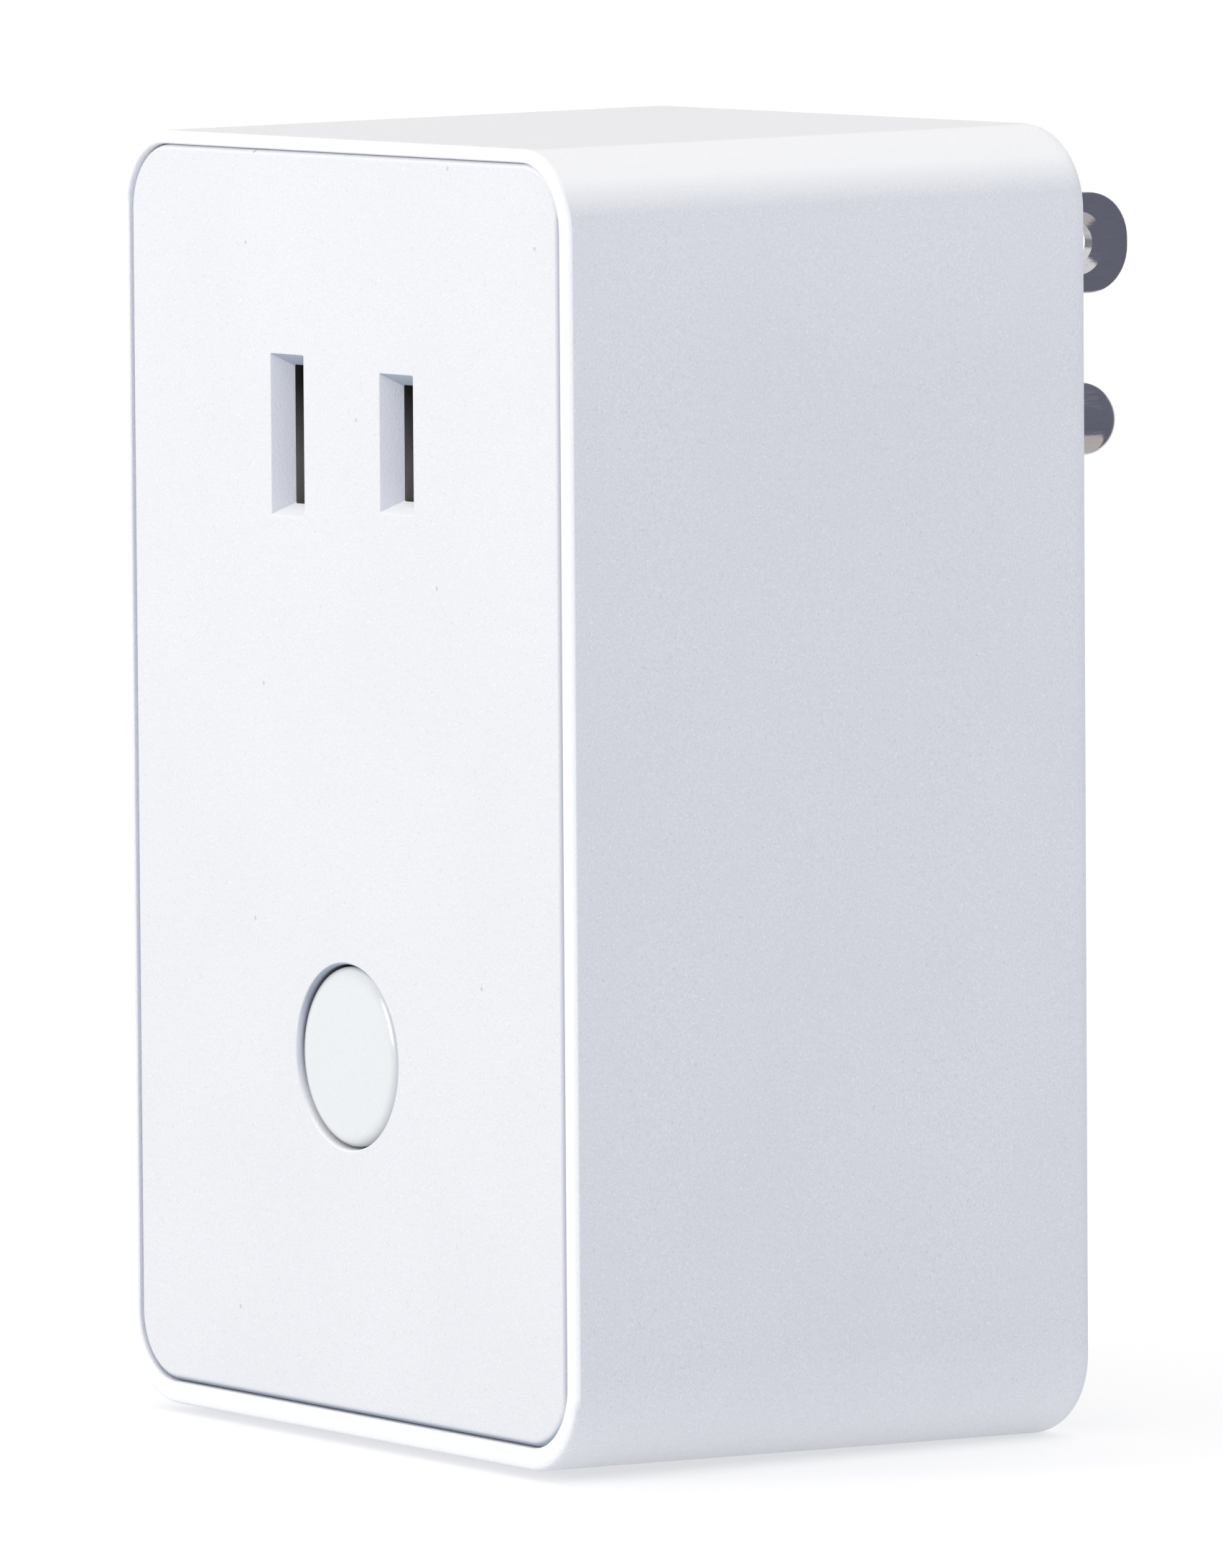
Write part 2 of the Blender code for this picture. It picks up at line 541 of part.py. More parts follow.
def make_power_parts(meter):
    stand = BOARD_FRONT - 1.0
    foot = BOARD_FRONT - GAP

    for name, x, z, radius, height in (("bulk_capacitor", -17.2, -23.0, 4.0, 13.0),
                                       ("output_capacitor", -17.2, -12.5, 3.15, 9.0)):
        can = turned(name, can_profile(radius, height), (x, stand, z), steps=18)
        part(can, (0.05, 0.06, 0.12), 0.4, parent=meter)
        leads(can, ((x - 1.2, z), (x + 1.2, z)), stand - 0.5, foot)

    film = box("safety_capacitor", (-21.3, stand - 10.5, 2.0), (-8.3, stand, 7.0), 0.4)
    part(film, (0.75, 0.6, 0.12), 0.5, parent=meter)
    leads(film, ((-19.8, 4.5), (-9.8, 4.5)), stand - 0.5, foot)

    disc = turned("varistor", [(0, 1.8), (3.2, 1.75), (4.2, 1.2), (4.5, 0), (4.2, -1.2), (3.2, -1.75),
                               (0, -1.8)], (0, stand - 4.8, 4.5), (0, 0, 1), 18)
    part(disc, (0.05, 0.2, 0.5), 0.5, parent=meter)
    leads(disc, ((-2.5, 4.5), (2.5, 4.5)), stand - 2.0, foot)

    fuse = turned("fuse", [(0, 7.6), (3.7, 7.6), (4.1, 7.2), (4.1, 0.6), (3.8, 0), (0, 0)],
                  (15.5, stand, 6.5), steps=18)
    part(fuse, (0.25, 0.12, 0.06), 0.5, parent=meter)
    leads(fuse, ((13.0, 6.5), (18.0, 6.5)), stand - 0.5, foot)

    drum = turned("filter_inductor", [(0, 8.0), (3.4, 8.0), (3.5, 7.8), (3.5, 6.7), (3.1, 6.4),
                                      (3.1, 1.6), (3.5, 1.3), (3.5, 0.2), (3.4, 0), (0, 0)],
                  (-1.5, foot - 0.2, -8.5), steps=16)
    part(drum, (0.08, 0.08, 0.08), 0.45, parent=meter)

    for name, x, z, half_x, half_z, height in (("bridge_rectifier", -17.5, -4.0, 3.2, 2.3, 2.4),
                                               ("supply_chip", -10.5, -8.5, 2.0, 2.5, 1.6),
                                               ("metering_chip", -18.0, 20.5, 2.0, 5.0, 1.6)):
        chip = box(name, (x - half_x, foot - height, z - half_z), (x + half_x, foot - 0.2, z + half_z), 0.2)
        part(chip, (0.03, 0.03, 0.035), 0.5, parent=meter)
        pins = max(2, round(half_z * 2 / 1.6))
        for index in range(pins):
            level = z + (index - (pins - 1) / 2) * 1.27
            join(chip, box("chip_pin", (x - half_x - 0.8, foot - 0.9, level - 0.22),
                           (x + half_x + 0.8, foot, level + 0.22)))

    raised = [(-8.9, 30.6), (-8.9, 29.2), (-11.5, 28.4), (-11.5, 26.6), (-8.9, 25.8), (-8.9, 24.5)]
    shunt = extruded("shunt_resistor", strip(raised, 0.8), 'X', -BLADE_X - 1.5, -BLADE_X + 1.5)
    part(shunt, (0.5, 0.4, 0.33), 0.4, 1.0, meter)

    bar = [(4.85, 19.5), (7.85, 19.5), (7.85, 3.6), (10.6, 3.6), (10.6, 0.9), (4.85, 0.9)]
    part(extruded("line_busbar", bar, 'Y', foot - 0.8, foot), (0.7, 0.42, 0.3), 0.3, 1.0, meter)

    route = [(9.8, foot, 32.6), (10.2, -10.6, 32.2), (13.4, -12.0, 29.9), (18.6, -12.2, 28.2),
             (21.2, -12.0, 23.0), (21.5, -12.0, 8.0), (21.4, -12.0, -16.0), (20.9, -12.0, -25.6),
             (19.9, -11.9, -29.2), (17.2, -11.6, -30.3), (14.9, -10.8, -31.0), (13.8, foot, -31.2)]
    path = smooth_path(route, 2)
    curve = bpy.data.curves.new("line_wire", 'CURVE')
    curve.dimensions = '3D'
    curve.bevel_depth = 0.8 * MM
    curve.bevel_resolution = 2
    curve.use_fill_caps = True
    curve.resolution_u = 1
    spline = curve.splines.new('POLY')
    spline.points.add(len(path) - 1)
    for knot, point in zip(spline.points, path):
        knot.co = (*(point * MM), 1.0)
    part(bpy.data.objects.new("line_wire", curve), (0.1, 0.1, 0.1), 0.5, parent=meter)


# ---------------------------------------------------------------- relay

def make_relay(meter):
    """Built round a point on the power board. Height above the board runs along -Y."""
    x, z = RELAY_AT
    relay = empty("relay", (x, BOARD_FRONT - GAP, z), meter)
    coil = -7.7

    case = box("relay_case", (-6.35, -15.7, -14.5), (6.35, -0.05, 14.5), 0.5, 2)
    part(case, (0.06, 0.06, 0.07), 0.4, parent=relay)
    cut(case, box("case_inside", (-5.55, -14.9, -13.7), (5.55, THROUGH, 13.7)))

    base = box("relay_base", (-5.25, -1.6, -13.4), (5.25, -0.1, 13.4))
    part(base, (0.1, 0.1, 0.11), 0.5, parent=relay)
    cut(base, box("yoke_notch", (-1.55, -3.0, -15.0), (1.55, 1.0, -12.0)))
    cut(base, box("contact_slot", (-1.55, -3.0, 11.2), (1.55, 1.0, 12.6)))
    for side in (-1, 1):
        spot = side * 3.8
        cut(base, box("coil_pin_hole", (spot - 0.6, -3.0, -11.0), (spot + 0.6, 1.0, -9.8)))
        name = "relay_coil_pin_1" if side < 0 else "relay_coil_pin_2"
        part(box(name, (spot - 0.3, -2.4, -10.7), (spot + 0.3, 1.6, -10.1)), (0.6, 0.6, 0.58), 0.3, 1.0,
             relay)

    yoke = extruded("relay_yoke", [(-14.1, -13.5), (-14.1, 1.6), (-12.9, 1.6), (-12.9, -12.3),
                                   (-3.0, -12.3), (-3.0, -13.5)], 'X', -4.0, 4.0)
    part(yoke, (0.55, 0.55, 0.56), 0.4, 1.0, relay)
    join(yoke, box("yoke_tail", (-1.25, -3.5, -13.4), (1.25, 1.6, -12.4)))
    cut(yoke, rod("rivet_hole", 1.9, (0, coil, -15.0), (0, coil, -11.0)))

    core = turned("relay_core", [(0, 1.2), (2.8, 1.2), (2.8, 0.3), (1.6, 0.3), (1.6, -13.5), (0, -13.5)],
                  (0, coil, 0), (0, 0, 1), 16)
    part(core, (0.6, 0.6, 0.6), 0.35, 1.0, relay)
    bobbin = turned("relay_bobbin", [(1.9, 0), (4.9, 0), (4.9, -0.9), (2.6, -0.9), (2.6, -11.1),
                                     (4.9, -11.1), (4.9, -12.0), (1.9, -12.0)],
                    (0, coil, 0), (0, 0, 1), 16, True)
    part(bobbin, (0.85, 0.84, 0.78), 0.5, parent=relay)
    winding = turned("relay_winding", [(2.9, -1.2), (4.6, -1.2), (4.6, -10.8), (2.9, -10.8)],
                     (0, coil, 0), (0, 0, 1), 16, True)
    part(winding, (0.6, 0.22, 0.08), 0.35, 0.6, relay)

    hinge = empty("relay_hinge", (0, -13.5, 2.1), relay)
    plate = [(-0.6, 0.0), (-0.6, 2.9), (0.6, 2.9), (0.6, 1.2), (9.3, 1.2), (9.3, 0.0)]
    part(extruded("relay_armature", plate, 'X', -4.0, 4.0), (0.58, 0.58, 0.6), 0.4, 1.0, hinge)
    leaf = box("relay_contact_spring", (-1.8, -1.2, 0.3), (1.8, -0.9, 10.3))
    part(leaf, (0.72, 0.5, 0.28), 0.35, 1.0, hinge)
    join(leaf, rod("moving_contact", 1.4, (0, -1.0, 8.5), (0, 0.3, 8.5)))

    bracket = [(-11.4, 7.4), (-11.4, 12.3), (1.6, 12.3), (1.6, 11.5), (-10.6, 11.5), (-10.6, 7.4)]
    fixed = extruded("relay_fixed_contact", bracket, 'X', -1.25, 1.25)
    part(fixed, (0.7, 0.55, 0.35), 0.35, 1.0, relay)
    join(fixed, rod("still_contact", 1.2, (0, -12.2, 9.6), (0, -11.0, 9.6)))


# ---------------------------------------------------------------- transformer

def make_transformer(meter):
    x, z = TRANSFORMER_AT
    place = empty("transformer", (x, BOARD_FRONT - GAP, z), meter)
    middle = -6.4

    core = box("transformer_core", (-6.7, middle - 2.0, -6.2), (6.7, middle + 2.0, 6.2), 0.2)
    part(core, (0.08, 0.08, 0.09), 0.6, parent=place)
    for side in (-1, 1):
        near = side * 2.0
        far = side * 5.2
        cut(core, box("core_window", (min(near, far), middle - 4.0, -4.4),
                      (max(near, far), middle + 4.0, 4.4)))

    def square(half, radius=0.3):
        return rounded_rectangle(half, half, radius, steps=2)

    def upright(name, levels):
        """A loft about the transformer's own upright axis."""
        made = loft(name, levels, (0, middle, 0))
        made.rotation_euler = (math.radians(90), 0, 0)
        return made

    spool = [(-4.1, 2.3), (-4.1, 4.9), (-3.3, 4.9), (-3.3, 2.8), (3.3, 2.8), (3.3, 4.9), (4.1, 4.9),
             (4.1, 2.3)]
    bobbin = upright("transformer_bobbin", [(y, square(half)) for y, half in spool[1:-1]])
    part(bobbin, (0.1, 0.1, 0.1), 0.5, parent=place)
    for side in (-1, 1):
        inner = side * 3.4
        outer = side * 6.5
        join(bobbin, box("bobbin_foot", (-4.9, -2.4, min(inner, outer)), (4.9, 0.0, max(inner, outer))))
    cut(bobbin, box("bobbin_bore", (-2.3, middle - 2.3, -8.0), (2.3, middle + 2.3, 8.0)))

    winding = upright("transformer_winding", [(-3.0, square(4.6, 1.0)), (3.0, square(4.6, 1.0))])
    part(winding, (0.75, 0.65, 0.2), 0.4, parent=place)
    cut(winding, box("winding_bore", (-3.1, middle - 3.1, -8.0), (3.1, middle + 3.1, 8.0)))


# ---------------------------------------------------------------- control board

def make_control_board(meter):
    board = box("control_board", (-15.3, CONTROL_FRONT, -37.5), (15.3, CONTROL_BACK, 8.0))
    part(board, (0.04, 0.2, 0.1), 0.5, parent=meter)
    for x, z in CONTROL_SCREWS + CONTROL_PEGS:
        cut(board, rod("board_hole", 1.3, (x, CONTROL_FRONT - 1, z), (x, CONTROL_BACK + 1, z)))

    top = CONTROL_FRONT - GAP
    radio = box("radio_module", (-6.0, top - 0.8, -6.5), (6.0, top, 7.5))
    part(radio, (0.03, 0.06, 0.16), 0.4, parent=meter)
    shield = box("radio_shield", (-5.0, top - 3.0, -5.5), (5.0, top - 0.8 - GAP, 4.0), 0.3)
    part(shield, (0.7, 0.7, 0.7), 0.3, 1.0, meter)
    cut(shield, box("shield_inside", (-4.8, top - 2.8, -5.3), (4.8, top, 3.8)))
    part(box("control_chip", (-3.5, top - 1.4, -35.0), (3.5, top, -28.0), 0.2), (0.03, 0.03, 0.035), 0.5,
         parent=meter)
    part(box("status_led", (4.2, top - 0.9, BUTTON_Z - 0.8), (6.2, top, BUTTON_Z + 0.8), 0.15),
         (0.8, 0.85, 0.75), 0.2, parent=meter)

    place = empty("push_switch", (0, top, BUTTON_Z), meter)
    body = box("tact_switch_body", (-3.0, -2.8, -3.0), (3.0, 0.0, 3.0))
    part(body, (0.04, 0.04, 0.04), 0.5, parent=place)
    cut(body, rod("switch_well", 2.6, (0, -4.0, 0), (0, -0.9, 0), 24))
    dome = turned("tact_dome", [(0, 0.3), (1.2, 0.25), (2.2, 0.05), (2.2, -0.05), (1.2, 0.13), (0, 0.18)],
                  (0, -1.3, 0), steps=20)
    part(dome, (0.7, 0.7, 0.7), 0.25, 1.0, place)
    cover = box("tact_switch_cover", (-3.0, -3.4, -3.0), (3.0, -3.1, 3.0))
    part(cover, (0.7, 0.7, 0.7), 0.3, 1.0, place)
    cut(cover, rod("cover_hole", 2.05, (0, -5.0, 0), (0, -2.0, 0), 24))
    plunger = turned("tact_switch_plunger", [(0, 4.0), (1.6, 4.0), (1.75, 3.85), (1.75, 2.8), (2.3, 2.8),
                                             (2.3, 2.15), (0, 2.15)], (0, 0, 0), steps=24)
    part(plunger, (0.05, 0.05, 0.05), 0.45, parent=place)


def make_ribbon(meter):
    """Six joined conductors that run between a header on each board, with a little slack."""
    lanes = 6
    pitch = 1.27
    middle = -3.0
    rear = box("control_board_header", (-7.5, CONTROL_BACK + GAP, -33.0),
               (1.5, CONTROL_BACK + GAP + 3.8, -28.6), 0.2)
    part(rear, (0.85, 0.84, 0.8), 0.45, parent=meter)
    front = box("power_board_header", (-7.5, BOARD_FRONT - GAP - 4.4, -36.6),
                (1.5, BOARD_FRONT - GAP, -32.2), 0.2)
    part(front, (0.85, 0.84, 0.8), 0.45, parent=meter)

    start = CONTROL_BACK + GAP + 3.8 + GAP
    end = BOARD_FRONT - GAP - 4.4 - GAP
    route = [(0, start, -30.8), (0, start + 1.2, -31.2), (0, -21.5, -33.6), (0, -17.8, -35.4),
             (0, end - 1.2, -34.9), (0, end, -34.4)]
    path = smooth_path(route, 2)
    thick = 0.45
    dip = 0.2
    bm = bmesh.new()
    rings = []
    for index, point in enumerate(path):
        along = (path[min(index + 1, len(path) - 1)] - path[max(index - 1, 0)]).normalized()
        normal = Vector((0, -along.z, along.y))
        upper = []
        for step in range(2 * lanes + 1):
            half = thick if step % 2 else dip
            upper.append((middle + (step / 2 - lanes / 2) * pitch, half))
        outline = upper + [(across, -half) for across, half in reversed(upper)]
        rings.append([bm.verts.new(point + normal * half + Vector((across, 0, 0)))
                      for across, half in outline])
    for ring, following in zip(rings, rings[1:]):
        for index, corner in enumerate(ring):
            after = (index + 1) % len(ring)
            bm.faces.new((corner, ring[after], following[after], following[index]))
    bm.faces.new(rings[0])
    bm.faces.new(rings[-1])
    part(finish("ribbon_cable", bm), (0.5, 0.5, 0.52), 0.5, parent=meter)


# ---------------------------------------------------------------- screws

def cross_recess(arm, half_width, at, depth):
    outline = []
    for turn in range(4):
        angle = math.radians(90 * turn)
        for across, along in ((half_width, half_width), (half_width, arm), (-half_width, arm)):
            outline.append((across * math.cos(angle) - along * math.sin(angle),
                            across * math.sin(angle) + along * math.cos(angle)))
    return extruded("cross_recess", outline, 'Y', -depth, THROUGH, at)


def make_screws(meter):
    for number, (x, z) in enumerate(HOUSING_SCREWS, 1):
        profile = [(0, -0.75), (1.6, -0.85), (2.5, -1.4), (2.8, -2.1), (2.8, -2.7), (1.35, -2.7),
                   (1.35, -18.6), (0.5, -20.0), (0, -20.0)]
        screw = turned(f"housing_screw_{number}", profile, (x, 0, z), (0, 1, 0), 16)
        part(screw, (0.35, 0.35, 0.36), 0.35, 1.0, meter)
        cut(screw, cross_recess(1.5, 0.35, (x, -0.7, z), 1.1))
    for number, (x, z) in enumerate(CONTROL_SCREWS, 1):
        profile = [(0, 1.5), (1.2, 1.4), (1.8, 0.7), (1.8, 0), (0.8, 0), (0.8, -5.8), (0, -6.4)]
        screw = turned(f"control_board_screw_{number}", profile, (x, CONTROL_BACK + GAP, z), (0, 1, 0), 12)
        part(screw, (0.5, 0.5, 0.5), 0.3, 1.0, meter)
        cut(screw, cross_recess(1.0, 0.25, (x, CONTROL_BACK + GAP + 1.5, z), 0.8))


def main():
    global PARTS, CUTTERS
    clear_scene()
    PARTS = collection("plug_in_power_meter")
    CUTTERS = collection("cutters")
    meter = empty("power_meter", (0, 0, 0))
    make_housing(meter)
    make_label(meter)
    make_front_panel(meter)
    make_button(meter)
    make_plug(meter)
    make_outlet(meter)
    make_power_board(meter)
    make_power_parts(meter)
    make_relay(meter)
    make_transformer(meter)
    make_control_board(meter)
    make_ribbon(meter)
    make_screws(meter)


main()
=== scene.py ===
"""The looks of a plug-in power meter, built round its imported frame.

The frame is in metres. Shapes are drawn in millimetres, and MM turns them into the frame's metres.
+Y runs into the wall, so the front panel looks along -Y, +X is to its right and +Z is up.
"""
import json
import math

import bmesh
import bpy
from mathutils import Matrix, Vector

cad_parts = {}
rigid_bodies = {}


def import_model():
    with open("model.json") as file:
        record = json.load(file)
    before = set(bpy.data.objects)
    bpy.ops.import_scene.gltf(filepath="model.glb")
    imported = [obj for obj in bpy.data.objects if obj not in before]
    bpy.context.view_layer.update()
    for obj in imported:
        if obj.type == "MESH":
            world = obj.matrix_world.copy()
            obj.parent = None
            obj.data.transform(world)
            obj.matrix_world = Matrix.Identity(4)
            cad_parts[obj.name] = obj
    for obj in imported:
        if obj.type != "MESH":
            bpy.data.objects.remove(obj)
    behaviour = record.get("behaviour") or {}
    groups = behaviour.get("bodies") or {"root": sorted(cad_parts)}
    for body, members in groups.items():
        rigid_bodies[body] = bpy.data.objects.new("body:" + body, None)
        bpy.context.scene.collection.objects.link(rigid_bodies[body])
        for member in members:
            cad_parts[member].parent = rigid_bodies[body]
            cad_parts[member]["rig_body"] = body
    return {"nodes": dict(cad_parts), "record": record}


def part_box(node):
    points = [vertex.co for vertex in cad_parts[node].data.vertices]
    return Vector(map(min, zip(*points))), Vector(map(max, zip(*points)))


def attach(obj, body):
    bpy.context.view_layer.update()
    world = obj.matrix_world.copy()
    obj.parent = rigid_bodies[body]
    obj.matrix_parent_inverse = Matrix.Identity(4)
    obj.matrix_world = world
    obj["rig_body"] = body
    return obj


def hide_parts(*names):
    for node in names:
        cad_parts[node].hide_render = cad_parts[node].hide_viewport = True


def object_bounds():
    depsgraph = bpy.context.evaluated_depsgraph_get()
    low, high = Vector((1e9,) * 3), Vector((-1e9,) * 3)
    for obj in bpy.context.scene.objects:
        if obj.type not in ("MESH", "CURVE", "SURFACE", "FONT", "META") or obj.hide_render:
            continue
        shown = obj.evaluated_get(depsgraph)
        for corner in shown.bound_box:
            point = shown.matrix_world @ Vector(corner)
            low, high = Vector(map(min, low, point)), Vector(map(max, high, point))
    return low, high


MM = 0.001
GAP = 0.3                        # the clearance between pieces that meet
THROUGH = 1.0                    # how far a cutting shape runs past the face it opens
BURIED = 1.0                     # how far a joined shape reaches into the plate that carries it

# Shape details that the frame's boxes don't give
BACK_FLARE = 0.6                 # how much further the top and bottom stand out at the back
SIDE_TAPER = 0.5                 # how much narrower each side is at the back
CORNER_RADIUS = 5.4
FRONT_FILLET = 0.5
RIM_FILLET = 0.25                # inner edge of the rim
BACK_FILLET = 1.8
WALL = 2.2
INNER_CHAMFER = 0.8
RIM = 1.15
PANEL_GAP = 0.05                 # between the panel and the rim, down inside
SEAM = 0.03                      # the same where it is seen, and behind the outlet's mouths
PANEL_FILLET = 0.6
SEAT_DEPTH = 2.8
LABEL_RECESS = 0.6
MOUTH_WIDTH = 3.9
MOUTH_CHAMFER = 0.75
MOUTH_DEPTH = 1.4
MOUTH_EDGE = 0.1                 # rounding where a slot meets the panel's face
NEUTRAL_MOUTH = 10.3
LINE_MOUTH = 8.8
CAP_RADIUS = 5.72
CAP_EDGE = 1.1
CAP_EDGE_DEPTH = 0.6
CAP_CROWN = 0.05                 # how far the cap's middle stands over the start of its rounding
CAP_DEPTH = 2.6                  # from the cap's face to its flange
CAP_FLANGE_RADIUS = 6.7
CAP_FLANGE = 1.0
CAP_HOLLOW_RADIUS = 4.4
CAP_HOLLOW_ROOF = 1.35
CAP_STEM_RADIUS = 2.0
CAP_HOLE_RADIUS = 5.87
CAP_HOLE_EDGE = 0.18
CAP_HOLE_EDGE_DEPTH = 0.35
COLLAR_RADIUS = 8.2
COLLAR_BORE = 7.0                # the radius inside the collar, which clears the flange
COLLAR_END = -34.5
BLADE_HEIGHT = 6.5
BLADE_TIP = 3.0
BLADE_HOLE_AT = 12.0
BLADE_HOLE_RADIUS = 1.35
BLADE_HOLE_FLARE = 0.7
BLADE_HOLE_CHAMFER = 0.34        # how deep the flare goes into each side of the blade
BLADE_SHOULDER = (-4.5, -2.5)    # the wide stretch that the carrier traps
BLADE_TAIL_HALF = 2.0
BLADE_ROUNDING = 0.22
PIN_RADIUS = 2.375
PIN_TIP = 2.1
PIN_FLANGE = (-4.3, -2.5)
PIN_FLANGE_RADIUS = 3.5
PIN_TAIL_RADIUS = 1.2
PLUG_HOLE_EDGE = 0.15            # how much the edges of the plug's holes in the back are broken

# Fixings, as radii and as places along Y
TOWER_RADIUS = 4.0
TOWER_FOOT = -1.2
PILLAR_RADIUS = 3.5
PILLAR_PILOT_RADIUS = 1.75
PILLAR_PILOT = (-20.5, -7.0)
POST_RADIUS = 2.2
POST_PILOT_RADIUS = 1.1
POST_PILOT = (-36.5, -30.0)
PEG_RADIUS = 0.95
PEG_SHOULDER = 6.2
PEG_LENGTH = 8.5
SCREW_WELL_RADIUS = 3.2
SCREW_WELL_DEPTH = 3.0
SCREW_BORE_RADIUS = 1.7
SCREW_HEAD_RADIUS = 2.8
SCREW_HEAD_DOME = 1.9
SCREW_SEAT = -2.7
SCREW_THREAD_RADIUS = 1.35
SCREW_THREAD_END = -18.6

# The insulator behind the outlet's slots
SOCKET_FRAME_WALL = 1.2
SOCKET_FRAME_END = -33.5
POCKET_HALF_WIDTH = 3.3
POCKET_HALF_HEIGHT = 4.9
POCKET_START = 2.6               # from the insulator's front
NOTCH_HALF_HEIGHT = 3.4
NOTCH = (-27.0, -25.0)
NOTCH_DEPTH = 0.8

# The camera: where it stands round the middle of the body, and its lens
AZIMUTH = 56.361
ELEVATION = 4.792
ROLL = 0.402
DISTANCE = 0.92462
LENS = 333.0
AIM_RIGHT = 0.000296
AIM_UP = -0.00063

# The key light, in metres, watts and degrees, and the floor
KEY_TOWARDS = (-0.3, -0.9, 0.3)
KEY_DISTANCE = 0.7
KEY_AIM_ABOVE = 0.115            # it looks past the top, so the front's upper half is a little brighter
KEY_WIDTH = 0.14
KEY_HEIGHT = 0.42
KEY_ENERGY = 0.12
KEY_SPREAD = 38
KEY_COLOUR = (1.0, 0.985, 0.95)
FLOOR_HALF = 12.0
FLOOR_GREY = 0.62
FLOOR_GLOW = 0.42

CORNER_STEPS = 20
ROUND_STEPS = 96

for old in list(bpy.data.objects):
    bpy.data.objects.remove(old, do_unlink=True)
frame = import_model()
cad_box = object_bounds()


# ---------------------------------------------------------------- places from the frame

def span(node):
    """A CAD node's lowest and highest corners in millimetres."""
    low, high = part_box(node)
    return low / MM, high / MM


def middle(node):
    """The middle of a CAD node's box in millimetres."""
    low, high = span(node)
    return (low + high) / 2


# ---------------------------------------------------------------- shapes

def arc(centre, radii, start_degrees, end_degrees, steps):
    """Points of an arc, ends included. Two radii make it a stretch of an ellipse."""
    points = []
    for step in range(steps + 1):
        angle = math.radians(start_degrees + (end_degrees - start_degrees) * step / steps)
        points.append((centre[0] + radii[0] * math.cos(angle), centre[1] + radii[1] * math.sin(angle)))
    return points


def round_arc(centre, radius, start_degrees, end_degrees, steps):
    return arc(centre, (radius, radius), start_degrees, end_degrees, steps)


def rounded_rectangle(half_width, half_height, radius, centre=(0.0, 0.0), steps=CORNER_STEPS):
    points = []
    for quarter, (side, level) in enumerate(((1, 1), (-1, 1), (-1, -1), (1, -1))):
        corner = (centre[0] + side * (half_width - radius), centre[1] + level * (half_height - radius))
        points += round_arc(corner, radius, 90 * quarter, 90 * quarter + 90, steps)
    return points


def skinned(name, rings):
    """A closed solid through rings of points in millimetres. A ring of one point is a tip."""
    bm = bmesh.new()
    rows = [[bm.verts.new(Vector(point) * MM) for point in ring] for ring in rings]
    for row, following in zip(rows, rows[1:]):
        for index in range(max(len(row), len(following))):
            corners = (row[index % len(row)], row[(index + 1) % len(row)],
                       following[(index + 1) % len(following)], following[index % len(following)])
            bm.faces.new(list(dict.fromkeys(corners)))
    for end in (rows[0], rows[-1]):
        if len(end) > 1:
            bm.faces.new(end)
    return linked(name, bm)


def linked(name, bm):
    """Makes an object from a bmesh and puts it in the scene."""
    bmesh.ops.recalc_face_normals(bm, faces=bm.faces)
    mesh = bpy.data.meshes.new(name)
    bm.to_mesh(mesh)
    bm.free()
    made = bpy.data.objects.new(name, mesh)
    bpy.context.scene.collection.objects.link(made)
    return made


def lofted(name, sections):
    """A solid through (y, outline) sections, each outline in the XZ plane."""
    return skinned(name, [[(x, y, z) for x, z in outline] for y, outline in sections])


def turned(name, profile, at, axis=(0, 1, 0), steps=ROUND_STEPS):
    """A solid turned about an axis. The profile holds (radius, height) from tip to tip."""
    along = Vector(axis)
    side = along.orthogonal().normalized()
    across = along.cross(side)
    rings = []
    for radius, height in profile:
        centre = Vector(at) + along * height
        count = steps if radius else 1
        rings.append([centre + (side * math.cos(math.tau * step / count)
                                + across * math.sin(math.tau * step / count)) * radius
                      for step in range(count)])
    return skinned(name, rings)


def rod(name, radius, x, z, front, back, steps=48):
    """A straight round bar along Y."""
    return turned(name, [(0, front), (radius, front), (radius, back), (0, back)], (x, 0, z), steps=steps)


def box(name, low, high, rounding=0.0):
    outline = [(low[0], low[2]), (high[0], low[2]), (high[0], high[2]), (low[0], high[2])]
    made = lofted(name, [(low[1], outline), (high[1], outline)])
    if rounding:
        soften(made, rounding, 3)
    return made


def soften(made, width, segments):
    """Rounds every edge at which the surface turns by more than 30 degrees."""
    bm = bmesh.new()
    bm.from_mesh(made.data)
    sharp = [edge for edge in bm.edges if edge.calc_face_angle(0.0) > math.radians(30)]
    bmesh.ops.bevel(bm, geom=sharp, offset=width * MM, segments=segments, profile=0.5, affect='EDGES',
                    clamp_overlap=True)
    bm.to_mesh(made.data)
    bm.free()


def shaped(made, joined=(), cut=()):
    """Joins shapes to a piece, cuts others out of it, and keeps only the finished mesh."""
    steps = [('UNION', shape) for shape in joined] + [('DIFFERENCE', shape) for shape in cut]
    for operation, shape in steps:
        modifier = made.modifiers.new(operation.lower(), 'BOOLEAN')
        modifier.operation = operation
        modifier.solver = 'EXACT'
        modifier.object = shape
    seen = made.evaluated_get(bpy.context.evaluated_depsgraph_get())
    finished = bpy.data.meshes.new_from_object(seen)
    made.modifiers.clear()
    made.data = finished
    for _, shape in steps:
        bpy.data.objects.remove(shape, do_unlink=True)
    return made


